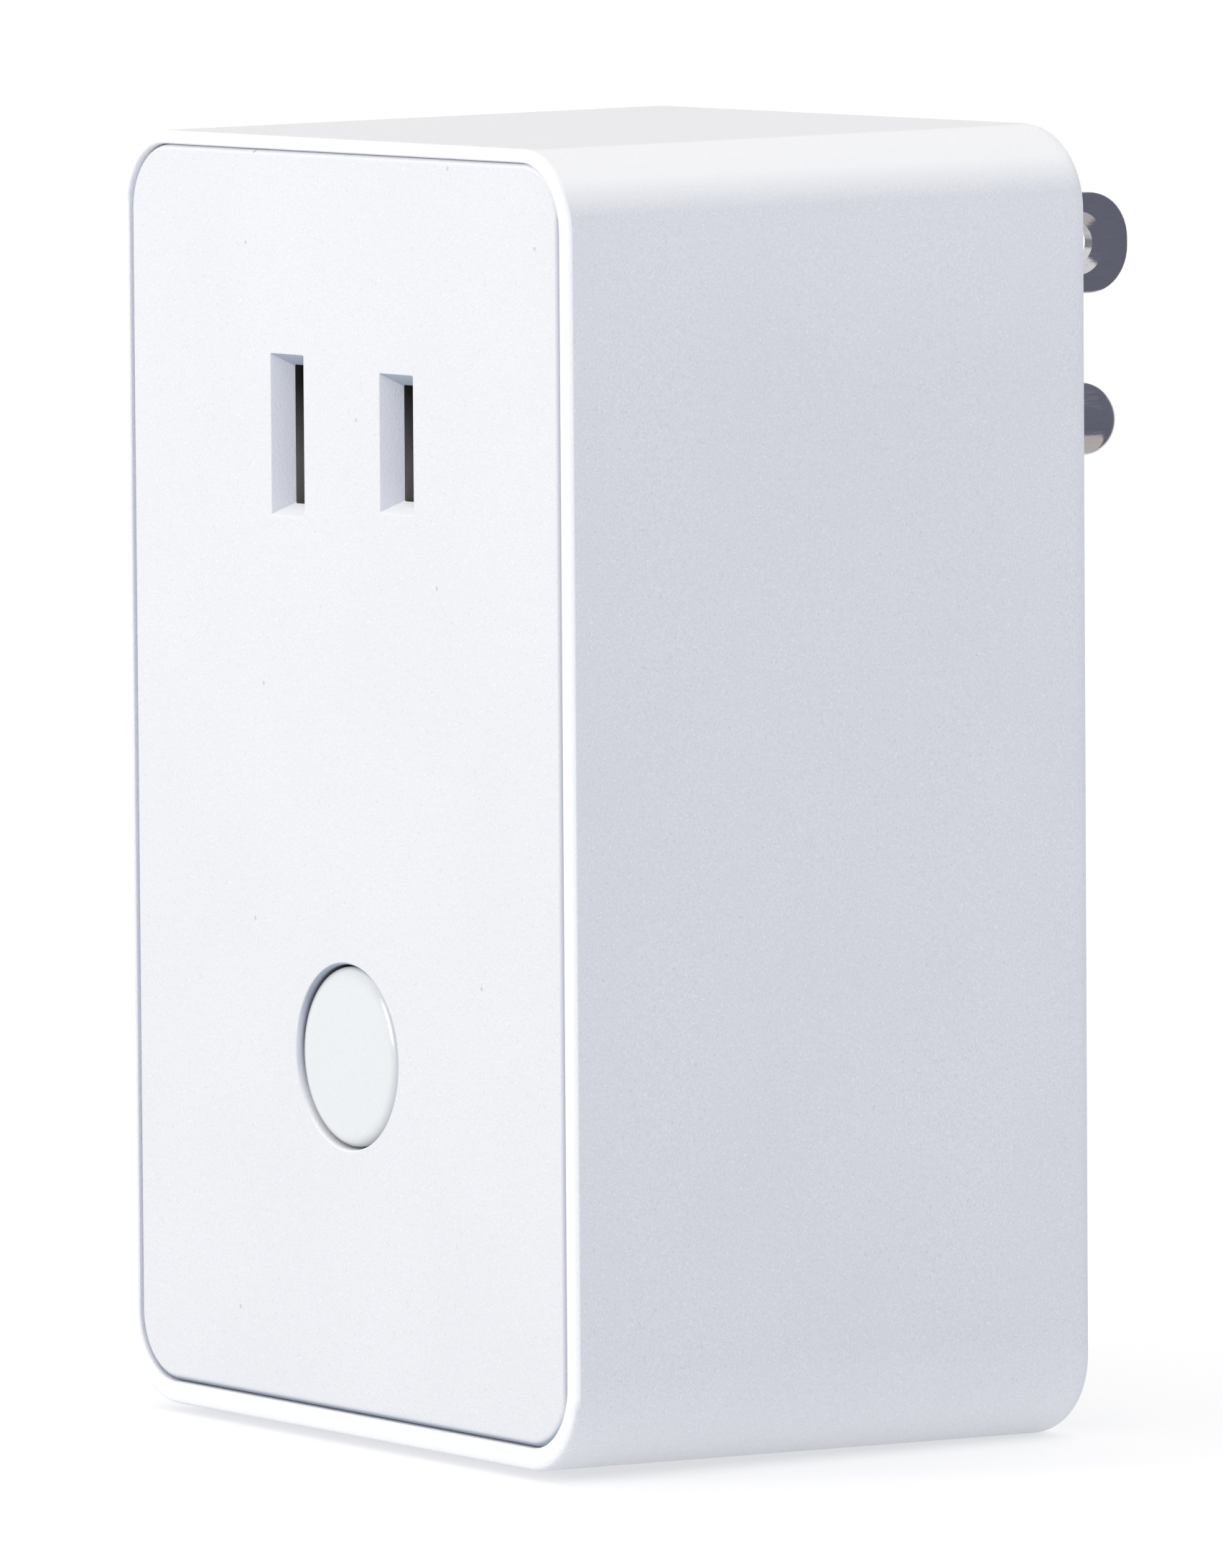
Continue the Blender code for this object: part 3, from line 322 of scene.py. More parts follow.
def piece(made, stands_for, look, smooth_degrees=35):
    """Shades a finished shape and puts it in the place of its CAD node."""
    made.data.shade_smooth()
    made.data.set_sharp_from_angle(angle=math.radians(smooth_degrees))
    weighted = made.modifiers.new("weighted normals", 'WEIGHTED_NORMAL')
    weighted.keep_sharp = True
    weighted.weight = 80
    made.data.materials.clear()
    made.data.materials.append(look)
    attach(made, frame["nodes"][stands_for]["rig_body"])
    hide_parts(stands_for)
    return made


# ---------------------------------------------------------------- material nodes

def node(tree, kind, settings=None, **inputs):
    """Adds a shader node and sets each named input to a value or links it to an output."""
    made = tree.nodes.new("ShaderNode" + kind)
    for key, value in (settings or {}).items():
        setattr(made, key, value)
    for key, value in inputs.items():
        wire(tree, value, made.inputs[key.replace("_", " ")])
    return made


def wire(tree, value, socket):
    """Links an output to a socket, or sets the socket to a plain value."""
    if isinstance(value, bpy.types.NodeSocket):
        tree.links.new(value, socket)
    else:
        socket.default_value = value


def result(tree, operation, first, second=0.0):
    """What a Math node makes of one or two values."""
    made = tree.nodes.new("ShaderNodeMath")
    made.operation = operation
    wire(tree, first, made.inputs[0])
    wire(tree, second, made.inputs[1])
    return made.outputs[0]


def mixed(tree, factor, first, second):
    """Two colours mixed by a factor."""
    made = tree.nodes.new("ShaderNodeMix")
    made.data_type = 'RGBA'
    wire(tree, factor, made.inputs[0])
    for value, socket in ((first, made.inputs[6]), (second, made.inputs[7])):
        wire(tree, value if isinstance(value, bpy.types.NodeSocket) else (*value, 1.0), socket)
    return made.outputs[2]


def spread(tree, value, low, high, to_low=0.0, to_high=1.0):
    """Maps low..high to to_low..to_high and stops at both ends."""
    return node(tree, "MapRange", Value=value, From_Min=low, From_Max=high, To_Min=to_low,
                To_Max=to_high).outputs[0]


def here(tree, stretch=(1.0, 1.0, 1.0), turn=(0.0, 0.0, 0.0)):
    """Where a point is on the piece, in millimetres, stretched and turned for a pattern that needs it."""
    place = node(tree, "TexCoord").outputs["Object"]
    return node(tree, "Mapping", Vector=place, Rotation=turn,
                Scale=tuple(value / MM for value in stretch)).outputs["Vector"]


def noise(tree, where, size, detail=2.0, rough=0.5):
    """Soft noise whose blotches are about size millimetres."""
    return node(tree, "TexNoise", Vector=where, Scale=1.0 / size, Detail=detail,
                Roughness=rough).outputs["Fac"]


def cells(tree, where, size, feature='F1'):
    """How far each point is from the middle of its cell. Cells are about size millimetres wide."""
    return node(tree, "TexVoronoi", {"feature": feature}, Vector=where,
                Scale=1.0 / size).outputs["Distance"]


def bands(tree, where, pitch, direction):
    """Even ridges, pitch millimetres apart."""
    wave = node(tree, "TexWave", {"wave_type": 'BANDS', "bands_direction": direction}, Vector=where,
                Scale=math.tau / 20 / pitch)
    return wave.outputs["Fac"]


def new_look(name, colour, roughness, metallic=0.0, **constants):
    """A Principled material with its constants set on the shader's own sockets."""
    look = bpy.data.materials.new(name)
    look.use_nodes = True
    tree = look.node_tree
    shader = tree.nodes["Principled BSDF"]
    shader.inputs["Base Color"].default_value = (*colour, 1.0)
    shader.inputs["Roughness"].default_value = roughness
    shader.inputs["Metallic"].default_value = metallic
    for key, value in constants.items():
        shader.inputs[key.replace("_", " ")].default_value = value
    return look, tree, shader


def bump(tree, shader, layers):
    """Stacks (height, depth in millimetres) layers into the shader's normal."""
    normal = None
    for height, depth in layers:
        made = node(tree, "Bump", Height=height, Distance=depth * MM, Strength=1.0)
        if normal:
            tree.links.new(normal, made.inputs["Normal"])
        normal = made.outputs["Normal"]
    tree.links.new(normal, shader.inputs["Normal"])


def shade(colour, factor):
    """A colour made darker or lighter."""
    return tuple(min(channel * factor, 1.0) for channel in colour)


# ---------------------------------------------------------------- looks

def moulded(name, colour, roughness, grain=0.2, depth=0.012, variation=0.03, edges=None, **constants):
    """Injection-moulded plastic: a fine eroded grain, faint flow clouds, and dark and pale specks."""
    look, tree, shader = new_look(name, colour, roughness, **constants)
    where = here(tree)
    fine = noise(tree, where, grain, 3.0, 0.6)
    cloud = noise(tree, where, 14.0, 2.0)
    specks = spread(tree, noise(tree, where, grain * 1.6, 1.0), 0.66, 0.74)
    sparks = spread(tree, noise(tree, here(tree, (1.3, 1.3, 1.3), (0.4, 0.9, 0.2)), grain * 1.3, 1.0),
                    0.62, 0.7)
    tone = mixed(tree, spread(tree, fine, 0.3, 0.7), shade(colour, 1 - variation),
                 shade(colour, 1 + variation))
    tone = mixed(tree, spread(tree, cloud, 0.35, 0.65, 0.0, 0.35), tone, shade(colour, 1 - variation * 0.7))
    tone = mixed(tree, result(tree, 'MULTIPLY', specks, 0.35), tone, shade(colour, 1 - variation * 4))
    tone = mixed(tree, result(tree, 'MULTIPLY', sparks, 0.5), tone, shade(colour, 1 + variation * 3))
    # When given, edges paints highlights and shade onto the tone according to which way the surface faces.
    if edges:
        tone = edges(tree, tone)
    tree.links.new(tone, shader.inputs["Base Color"])
    tree.links.new(spread(tree, fine, 0.25, 0.75, roughness - 0.07, roughness + 0.09),
                   shader.inputs["Roughness"])
    pits = cells(tree, where, grain * 1.4, 'SMOOTH_F1')
    bump(tree, shader, ((fine, depth), (pits, depth * 0.8)))
    return look


def painted_housing_highlights(tree, tone):
    """Painted highlights: the rim, the upper corners, the rounded edges, bands near the top and bottom and
    the top face are painted paler than the plain sides.
    """
    facing = node(tree, "SeparateXYZ", Vector=node(tree, "TexCoord").outputs["Normal"])
    squarest = 0.0
    for axis in 'XYZ':
        squarest = result(tree, 'MAXIMUM', result(tree, 'ABSOLUTE', facing.outputs[axis]), squarest)
    low, high = span("housing")
    place = node(tree, "SeparateXYZ", Vector=here(tree))
    near_top = spread(tree, place.outputs["Z"], high.z - 16.0, high.z - 5.0, 0.0, 0.1)
    near_bottom = spread(tree, place.outputs["Z"], low.z + 7.0, low.z + 2.0, 0.0, 0.22)
    upper_corner = result(tree, 'MULTIPLY', spread(tree, facing.outputs["Z"], 0.2, 0.65, 0.0, 0.95),
                          spread(tree, facing.outputs["Z"], 0.9995, 0.985))
    rounded = spread(tree, squarest, 0.9995, 0.93, 0.0, 0.85)
    forward = spread(tree, result(tree, 'ABSOLUTE', facing.outputs["Y"]), 0.1, 0.4)
    away_from_back = spread(tree, place.outputs["Y"], -1.5, -5.0)
    above = spread(tree, facing.outputs["Z"], -0.2, -0.05)
    edge = result(tree, 'MULTIPLY', result(tree, 'MULTIPLY', rounded, forward),
                  result(tree, 'MULTIPLY', away_from_back, above))
    rim = spread(tree, facing.outputs["Y"], -0.55, -0.85, 0.0, 0.65)
    pale = rim
    for area in (near_top, near_bottom, upper_corner, edge):
        pale = result(tree, 'MAXIMUM', pale, area)
    # Painted highlight: faces that look up take a paler tone than the sides.
    tone = mixed(tree, spread(tree, facing.outputs["Z"], 0.8, 0.99), tone, (0.85, 0.845, 0.855))
    return mixed(tree, pale, tone, (0.96, 0.963, 0.975))


def painted_edge_light_and_shade(side, below, above):
    """Painted shade and highlight on edges: one tone where they turn sideways, another facing down and a
    third facing up.
    """
    def edges(tree, tone):
        facing = node(tree, "SeparateXYZ", Vector=node(tree, "TexCoord").outputs["Normal"])
        turned_away = spread(tree, result(tree, 'ABSOLUTE', facing.outputs["Y"]), 0.99, 0.75)
        edge = mixed(tree, spread(tree, facing.outputs["Z"], -0.15, -0.6), side, below)
        edge = mixed(tree, spread(tree, facing.outputs["Z"], 0.15, 0.6), edge, above)
        return mixed(tree, turned_away, tone, edge)
    return edges


def panel_painted_light_and_dust(tree, tone):
    """Painted shade and highlights on the edges, odd dust specks, and painted shade just inside the panel's
    right-hand edge and down the button's hole."""
    tone = painted_edge_light_and_shade((0.72, 0.74, 0.81), (0.38, 0.43, 0.52), (0.95, 0.953, 0.96))(tree, tone)
    flat = here(tree, (1.0, 0.0, 1.0), (math.radians(90), 0.0, 0.0))
    dust = node(tree, "TexVoronoi", {"voronoi_dimensions": '2D'}, Vector=flat,
                Scale=0.055).outputs["Distance"]
    tone = mixed(tree, spread(tree, dust, 0.005, 0.009, 0.55, 0.0), tone, (0.42, 0.39, 0.42))
    low, high = span("front_panel")
    button = middle("button_cap")
    place = node(tree, "SeparateXYZ", Vector=here(tree))
    # Painted shade just inside the panel's right-hand edge, where the groove falls in shade.
    painted_seam_shade = spread(tree, place.outputs["X"], high.x - 0.5, high.x - 0.15, 0.0, 0.8)
    tone = mixed(tree, painted_seam_shade, tone, (0.40, 0.41, 0.51))
    # Painted shade down the inside of the button's hole, where its wall does not face up.
    across = node(tree, "VectorMath", {"operation": 'DISTANCE'}, Vector=here(tree, (1.0, 0.0, 1.0)))
    across.inputs[1].default_value = (button.x, 0.0, button.z)
    in_hole = spread(tree, across.outputs["Value"], CAP_HOLE_RADIUS + 0.25, CAP_HOLE_RADIUS + 0.1)
    deep = spread(tree, place.outputs["Y"], low.y + 0.3, low.y + 0.6)
    facing = node(tree, "SeparateXYZ", Vector=node(tree, "TexCoord").outputs["Normal"])
    sheltered = spread(tree, facing.outputs["Z"], 0.45, -0.15)
    painted_hole_shade = result(tree, 'MULTIPLY', in_hole, result(tree, 'MULTIPLY', deep, sheltered))
    return mixed(tree, painted_hole_shade, tone, (0.14, 0.14, 0.18))


def slot_plastic_with_painted_shade(name, low_colour, shadowed_top_colour):
    """The socket's dark plastic, with painted shade that turns it near black towards the top of its slots."""
    look = moulded(name, low_colour, 0.5, 0.14, 0.012, 0.06)
    tree = look.node_tree
    shader = tree.nodes["Principled BSDF"]
    plain = shader.inputs["Base Color"].links[0].from_socket
    # Painted shade: near black at the top of the slots, fading to the plain colour lower down.
    level = node(tree, "SeparateXYZ", Vector=here(tree)).outputs["Z"]
    centre = middle("socket_contact_line").z
    top = spread(tree, level, centre - 1.5, centre + 3.2)
    tree.links.new(mixed(tree, top, plain, shadowed_top_colour), shader.inputs["Base Color"])
    return look


def metal(name, colour, roughness, along='Y', stain=0.12, tarnish=None):
    """Drawn or rolled metal: streaks along one axis, stains and fine scratches."""
    stretch = [1.0 if axis != along else 0.06 for axis in 'XYZ']
    look, tree, shader = new_look(name, colour, roughness, 1.0)
    streaks = noise(tree, here(tree, stretch), 0.09, 4.0, 0.65)
    stains = noise(tree, here(tree), 2.4, 4.0, 0.6)
    scratches = spread(tree, noise(tree, here(tree, stretch, (0.3, 0.2, 0.1)), 0.16, 2.0), 0.64, 0.7)
    tone = mixed(tree, spread(tree, streaks, 0.35, 0.65), shade(colour, 1 - stain),
                 shade(colour, 1 + stain))
    tone = mixed(tree, spread(tree, stains, 0.5, 0.75, 0.0, 0.6), tone,
                 tarnish or shade(colour, 1 - 2 * stain))
    tree.links.new(tone, shader.inputs["Base Color"])
    worn = result(tree, 'ADD', spread(tree, streaks, 0.3, 0.7, roughness - 0.05, roughness + 0.08),
                  spread(tree, stains, 0.5, 0.75, 0.0, 0.1))
    tree.links.new(worn, shader.inputs["Roughness"])
    bump(tree, shader, ((streaks, 0.0015), (scratches, 0.002)))
    return look


def laminate(name, colour, copper):
    """A circuit board: solder resist over raised tracks, plated holes, and the glass weave."""
    look, tree, shader = new_look(name, colour, 0.35, Coat_Weight=0.25, Coat_Roughness=0.2)
    where = here(tree)
    flat = here(tree, (1.0, 0.0, 1.0), (math.radians(90), 0.0, 0.0))
    tracks = node(tree, "TexBrick", {"offset": 0.37, "squash": 1.7, "squash_frequency": 3}, Vector=flat,
                  Scale=0.32, Mortar_Size=0.045, Mortar_Smooth=0.25, Brick_Width=0.9,
                  Row_Height=0.42).outputs["Fac"]
    dots = cells(tree, here(tree, (1.0, 0.0, 1.0)), 2.6)
    pads = spread(tree, dots, 0.085, 0.11, 1.0, 0.0)
    weave = noise(tree, here(tree, (3.0, 1.0, 0.4)), 0.5, 2.0)
    tone = mixed(tree, tracks, colour, shade(colour, 1.9))
    tone = mixed(tree, spread(tree, weave, 0.4, 0.7, 0.0, 0.3), tone, shade(colour, 0.7))
    tone = mixed(tree, pads, tone, copper)
    tree.links.new(tone, shader.inputs["Base Color"])
    tree.links.new(pads, shader.inputs["Metallic"])
    tree.links.new(spread(tree, noise(tree, where, 0.8), 0.3, 0.7, 0.28, 0.42), shader.inputs["Roughness"])
    bump(tree, shader, ((tracks, 0.035), (pads, 0.02), (weave, 0.004)))
    return look


def wound(name, colour, pitch, direction, roughness=0.32, metallic=0.6):
    """Enamelled wire or tape in even turns."""
    look, tree, shader = new_look(name, colour, roughness, metallic)
    turns = bands(tree, here(tree), pitch, direction)
    drift = noise(tree, here(tree), 1.2, 3.0)
    tone = mixed(tree, turns, shade(colour, 0.45), shade(colour, 1.15))
    tone = mixed(tree, spread(tree, drift, 0.45, 0.7, 0.0, 0.4), tone, shade(colour, 0.75))
    tree.links.new(tone, shader.inputs["Base Color"])
    tree.links.new(spread(tree, drift, 0.3, 0.7, roughness - 0.06, roughness + 0.1),
                   shader.inputs["Roughness"])
    bump(tree, shader, ((turns, pitch * 0.3), (drift, 0.01)))
    return look


def fired(name, colour, roughness, lumps, variation=0.15, **constants):
    """Ceramic, ferrite or dipped epoxy: a lumpy skin with tiny pits."""
    look, tree, shader = new_look(name, colour, roughness, **constants)
    where = here(tree)
    broad = noise(tree, where, lumps, 3.0)
    fine = noise(tree, where, 0.12, 3.0, 0.7)
    pits = spread(tree, cells(tree, where, 0.45), 0.06, 0.2)
    tone = mixed(tree, fine, shade(colour, 1 - variation), shade(colour, 1 + variation))
    tone = mixed(tree, spread(tree, broad, 0.4, 0.65, 0.0, 0.5), tone, shade(colour, 1 - variation))
    tree.links.new(tone, shader.inputs["Base Color"])
    tree.links.new(spread(tree, fine, 0.3, 0.7, roughness - 0.06, roughness + 0.1),
                   shader.inputs["Roughness"])
    bump(tree, shader, ((broad, lumps * 0.04), (fine, 0.008), (pits, 0.01)))
    return look


def jacket(name, colour, roughness, pitch=None):
    """Soft wire insulation: extrusion lines, a dusty bloom, and one marked edge on flat cable."""
    look, tree, shader = new_look(name, colour, roughness)
    lines = noise(tree, here(tree, (1.0, 0.1, 0.15)), 0.12, 2.0)
    bloom = noise(tree, here(tree), 3.0, 4.0)
    tone = mixed(tree, lines, shade(colour, 0.88), shade(colour, 1.1))
    tone = mixed(tree, spread(tree, bloom, 0.45, 0.7, 0.0, 0.35), tone, shade(colour, 1.35))
    layers = [(lines, 0.004)]
    if pitch:
        first_edge = span("ribbon_cable")[0].x
        across = node(tree, "SeparateXYZ", Vector=here(tree)).outputs["X"]
        marked = spread(tree, across, first_edge + pitch * 0.95, first_edge + pitch, 1.0, 0.0)
        tone = mixed(tree, marked, tone, (0.45, 0.03, 0.03))
        layers.append((bloom, 0.03))
    tree.links.new(tone, shader.inputs["Base Color"])
    tree.links.new(spread(tree, bloom, 0.3, 0.7, roughness - 0.08, roughness + 0.1),
                   shader.inputs["Roughness"])
    bump(tree, shader, layers)
    return look


def can_sleeve(name, colour):
    """A glossy heat-shrunk sleeve with pale stripes along it."""
    look, tree, shader = new_look(name, colour, 0.25, Coat_Weight=0.4)
    place = node(tree, "SeparateXYZ", Vector=here(tree))
    stripe = spread(tree, result(tree, 'PINGPONG', place.outputs["X"], 4.0), 2.6, 2.75)
    ripple = noise(tree, here(tree, (1.0, 0.2, 1.0)), 0.8, 3.0)
    tone = mixed(tree, ripple, shade(colour, 0.8), shade(colour, 1.4))
    tone = mixed(tree, result(tree, 'MULTIPLY', stripe, 0.8), tone, (0.5, 0.52, 0.55))
    tree.links.new(tone, shader.inputs["Base Color"])
    tree.links.new(spread(tree, ripple, 0.3, 0.7, 0.2, 0.34), shader.inputs["Roughness"])
    bump(tree, shader, ((ripple, 0.02),))
    return look


def label_film(name, colour):
    """Blank satin film with a thin printed border and no text."""
    look, tree, shader = new_look(name, colour, 0.35, Coat_Weight=0.3, Coat_Roughness=0.25)
    low, high = span("rating_label")
    centre = (low + high) / 2
    half_size = (high - low) / 2
    margin = 1.2
    place = node(tree, "SeparateXYZ", Vector=here(tree))
    beyond = []
    for axis, index in (("X", 0), ("Z", 2)):
        offset = result(tree, 'SUBTRACT', place.outputs[axis], centre[index])
        beyond.append(result(tree, 'SUBTRACT', result(tree, 'ABSOLUTE', offset), half_size[index] - margin))
    away = result(tree, 'MAXIMUM', *beyond)
    line = spread(tree, result(tree, 'ABSOLUTE', away), 0.1, 0.14, 1.0, 0.0)
    fibres = noise(tree, here(tree, (0.2, 1.0, 1.0)), 0.1, 3.0)
    tone = mixed(tree, fibres, shade(colour, 0.94), shade(colour, 1.06))
    tone = mixed(tree, result(tree, 'MULTIPLY', line, 0.75), tone, (0.25, 0.26, 0.28))
    tree.links.new(tone, shader.inputs["Base Color"])
    tree.links.new(spread(tree, fibres, 0.3, 0.7, 0.3, 0.42), shader.inputs["Roughness"])
    bump(tree, shader, ((fibres, 0.003), (line, 0.004)))
    return look


# After colour and roughness, moulded takes its grain's size and depth and its variation, metal takes its
# streaks' axis, its stain and its tarnish, and fired takes its lumps' size and its variation. After
# colour, wound takes its pitch and its direction.
LOOKS = {
    # housing_white is painted paler at its rim, top, upper corners and edges, as painted highlights.
    "housing_white": lambda name: moulded(name, (0.69, 0.71, 0.77), 0.5, 0.14, 0.03, 0.07, painted_housing_highlights),
    # panel_white takes painted shade and highlights on its edges, besides real dust specks.
    "panel_white": lambda name: moulded(name, (0.73, 0.738, 0.768), 0.5, 0.12, 0.02, 0.065, panel_painted_light_and_dust),
    # The button cap's edge tones are painted shade where the edges turn sideways or down, and a painted
    # highlight where they face up.
    "button_milky": lambda name: moulded(name, (0.70, 0.722, 0.735), 0.2, 0.12, 0.001, 0.03, painted_edge_light_and_shade(
        (0.56, 0.58, 0.62), (0.45, 0.47, 0.5), (0.82, 0.84, 0.85)), Coat_Weight=1.0, Coat_Roughness=0.03),
    "plug_metal": lambda name: metal(name, (0.66, 0.65, 0.66), 0.1, 'Y', 0.04),
    "contact_brass": lambda name: metal(name, (0.75, 0.55, 0.26), 0.28, 'Z', 0.1, (0.45, 0.27, 0.12)),
    "dark_insulator": lambda name: slot_plastic_with_painted_shade(name, (0.2, 0.19, 0.175), (0.03, 0.029, 0.028)),
    "board_laminate": lambda name: laminate(name, (0.02, 0.16, 0.06), (0.75, 0.6, 0.3)),
    "radio_laminate": lambda name: laminate(name, (0.01, 0.04, 0.14), (0.8, 0.66, 0.36)),
    "relay_plastic": lambda name: moulded(name, (0.03, 0.03, 0.035), 0.35, 0.25, 0.008, 0.1),
    "cream_plastic": lambda name: moulded(name, (0.78, 0.75, 0.66), 0.42, 0.3, 0.008, 0.03,
                                          Subsurface_Weight=0.15, Subsurface_Scale=0.001),
    "coil_copper": lambda name: wound(name, (0.62, 0.24, 0.09), 0.16, 'Z'),
    "core_iron": lambda name: metal(name, (0.56, 0.56, 0.57), 0.34, 'X', 0.12, (0.36, 0.33, 0.3)),
    "pin_tin": lambda name: metal(name, (0.62, 0.62, 0.6), 0.36, 'Y', 0.1),
    "ferrite": lambda name: fired(name, (0.05, 0.05, 0.055), 0.5, 1.5),
    "winding_tape": lambda name: wound(name, (0.78, 0.6, 0.1), 1.9, 'Y', 0.28, 0.0),
    "can_sleeve": lambda name: can_sleeve(name, (0.02, 0.025, 0.06)),
    "film_yellow": lambda name: moulded(name, (0.78, 0.55, 0.06), 0.38, 0.4, 0.02, 0.05),
    "varistor_blue": lambda name: fired(name, (0.02, 0.12, 0.42), 0.25, 2.2, 0.1, Coat_Weight=0.3),
    "fuse_brown": lambda name: moulded(name, (0.22, 0.09, 0.04), 0.4, 0.3, 0.01, 0.06),
    "chip_black": lambda name: moulded(name, (0.02, 0.02, 0.022), 0.55, 0.1, 0.01, 0.15),
    "shunt_alloy": lambda name: metal(name, (0.5, 0.4, 0.33), 0.3, 'Z', 0.14),
    "bus_copper": lambda name: metal(name, (0.76, 0.42, 0.28), 0.28, 'Z', 0.12, (0.4, 0.2, 0.12)),
    "wire_black": lambda name: jacket(name, (0.03, 0.03, 0.032), 0.45),
    "ribbon_grey": lambda name: jacket(name, (0.42, 0.42, 0.44), 0.5, 1.27),
    "spring_steel": lambda name: metal(name, (0.66, 0.66, 0.66), 0.26, 'X', 0.08),
    "led_lens": lambda name: fired(name, (0.8, 0.86, 0.74), 0.18, 1.0, 0.04, Subsurface_Weight=0.4,
                                   Subsurface_Scale=0.001),
    "screw_steel": lambda name: metal(name, (0.45, 0.45, 0.46), 0.3, 'X', 0.12, (0.25, 0.24, 0.23)),
    "label_film": lambda name: label_film(name, (0.72, 0.73, 0.74)),
}
SLOT_OF = {row["node"]: row["material_slot"] for row in frame["record"]["subparts"]}
MADE_LOOKS = {slot: make(slot) for slot, make in LOOKS.items()}


def look_of(name):
    """The material of a CAD node's slot."""
    return MADE_LOOKS[SLOT_OF[name]]


# ---------------------------------------------------------------- housing and panel

def make_housing():
    low, high = span("housing")
    depth = -low.y
    front_half_height = high.z - BACK_FLARE * (1 - BACK_FILLET / depth)
    panel_rise = middle("front_panel").z

    def outline(inset, y, rise=0.0):
        share = (y + depth) / depth
        half_width = high.x - SIDE_TAPER * share - inset
        half_height = front_half_height + BACK_FLARE * share - inset
        return rounded_rectangle(half_width, half_height, max(CORNER_RADIUS - inset, 0.4), (0.0, rise))

    sections = [(0.0, outline(BACK_FILLET, 0.0))]
    for inset, y in round_arc((BACK_FILLET, -BACK_FILLET), BACK_FILLET, 90, 180, 12)[1:]:
        sections.append((y, outline(inset, y)))
    for inset, y in round_arc((FRONT_FILLET, -depth + FRONT_FILLET), FRONT_FILLET, 180, 270, 8):
        sections.append((y, outline(inset, y)))
    for inset, y in round_arc((RIM - RIM_FILLET, -depth + RIM_FILLET), RIM_FILLET, 270, 360, 6):
        sections.append((y, outline(inset, y, panel_rise)))
    ledge = -depth + SEAT_DEPTH
    sections.append((ledge, outline(RIM, ledge, panel_rise)))
    sections.append((ledge, outline(WALL, ledge)))
    sections.append((-WALL - INNER_CHAMFER, outline(WALL, -WALL - INNER_CHAMFER)))
    sections.append((-WALL, outline(WALL + INNER_CHAMFER, -WALL)))

    board_back = span("power_board")[1].y
    well_mouth = SCREW_WELL_RADIUS + 0.2
    well = [(0, THROUGH), (well_mouth, THROUGH), (well_mouth, -0.05), (SCREW_WELL_RADIUS, -0.25),
            (SCREW_WELL_RADIUS, -SCREW_WELL_DEPTH), (SCREW_BORE_RADIUS, -SCREW_WELL_DEPTH),
            (SCREW_BORE_RADIUS, board_back - THROUGH), (0, board_back - THROUGH)]
    towers = []
    holes = []
    for number in range(1, 5):
        spot = middle(f"housing_screw_{number}")
        towers.append(rod("tower", TOWER_RADIUS, spot.x, spot.z, TOWER_FOOT, board_back + GAP))
        holes.append(turned("screw_hole", well, (spot.x, 0, spot.z)))
    for name in ("plug_blade_neutral", "plug_blade_line"):
        spot = middle(name)
        blade_low, blade_high = span(name)
        half_width = (blade_high.x - blade_low.x) / 2 + GAP
        half_height = BLADE_HEIGHT / 2 + GAP
        holes.append(edged_hole("blade_hole", half_width, half_height, PLUG_HOLE_EDGE, (spot.x, spot.z)))
    pin = middle("plug_ground_pin")
    bore = PIN_RADIUS + GAP
    holes.append(turned("pin_hole", [(0, THROUGH), (bore + PLUG_HOLE_EDGE, THROUGH),
                                     (bore + PLUG_HOLE_EDGE, 0.0), (bore, -PLUG_HOLE_EDGE),
                                     (bore, -WALL - THROUGH), (0, -WALL - THROUGH)],
                        (pin.x, 0, pin.z)))
    label_low, label_high = span("rating_label")
    half_size = (label_high - label_low) / 2
    spot = middle("rating_label")
    recess = rounded_rectangle(half_size.x + GAP, half_size.z + GAP, 1.6, (spot.x, spot.z), 12)
    holes.append(lofted("label_recess", [(-LABEL_RECESS, recess), (THROUGH, recess)]))
    shell = shaped(lofted("housing_shell", sections), towers, holes)
    return piece(shell, "housing", look_of("housing"))


def edged_hole(name, half_width, half_height, edge, centre):
    """A rectangular hole through the back wall, with its outer edge broken."""
    sections = []
    for y, wider in ((-WALL - THROUGH, 0.0), (-edge, 0.0), (0.0, edge), (THROUGH, edge)):
        sections.append((y, rounded_rectangle(half_width + wider, half_height + wider, 0.2 + wider,
                                              centre, 4)))
    return lofted(name, sections)


def slot_shape(spot, mouth_height, face):
    """The inside of an outlet slot: a flared mouth with its edge just rounded."""
    slope = math.atan2(MOUTH_CHAMFER, MOUTH_DEPTH)
    profile = [(MOUTH_DEPTH + 0.5, -MOUTH_CHAMFER), (MOUTH_DEPTH - 0.01, -MOUTH_CHAMFER)]
    tangent = MOUTH_EDGE * math.tan((math.pi / 2 - slope) / 2)
    for step in range(6):
        lean = slope + (math.pi / 2 - slope) * step / 5
        profile.append((MOUTH_EDGE - MOUTH_EDGE * math.sin(lean),
                        tangent - MOUTH_EDGE * math.cos(lean)))
    profile.append((-THROUGH, tangent))
    sections = []
    for depth, wider in profile:
        sections.append((face + depth, rounded_rectangle(MOUTH_WIDTH / 2 + wider, mouth_height / 2 + wider,
                                                         0.12, (spot.x, spot.z), 4)))
    return lofted("outlet_slot", sections)


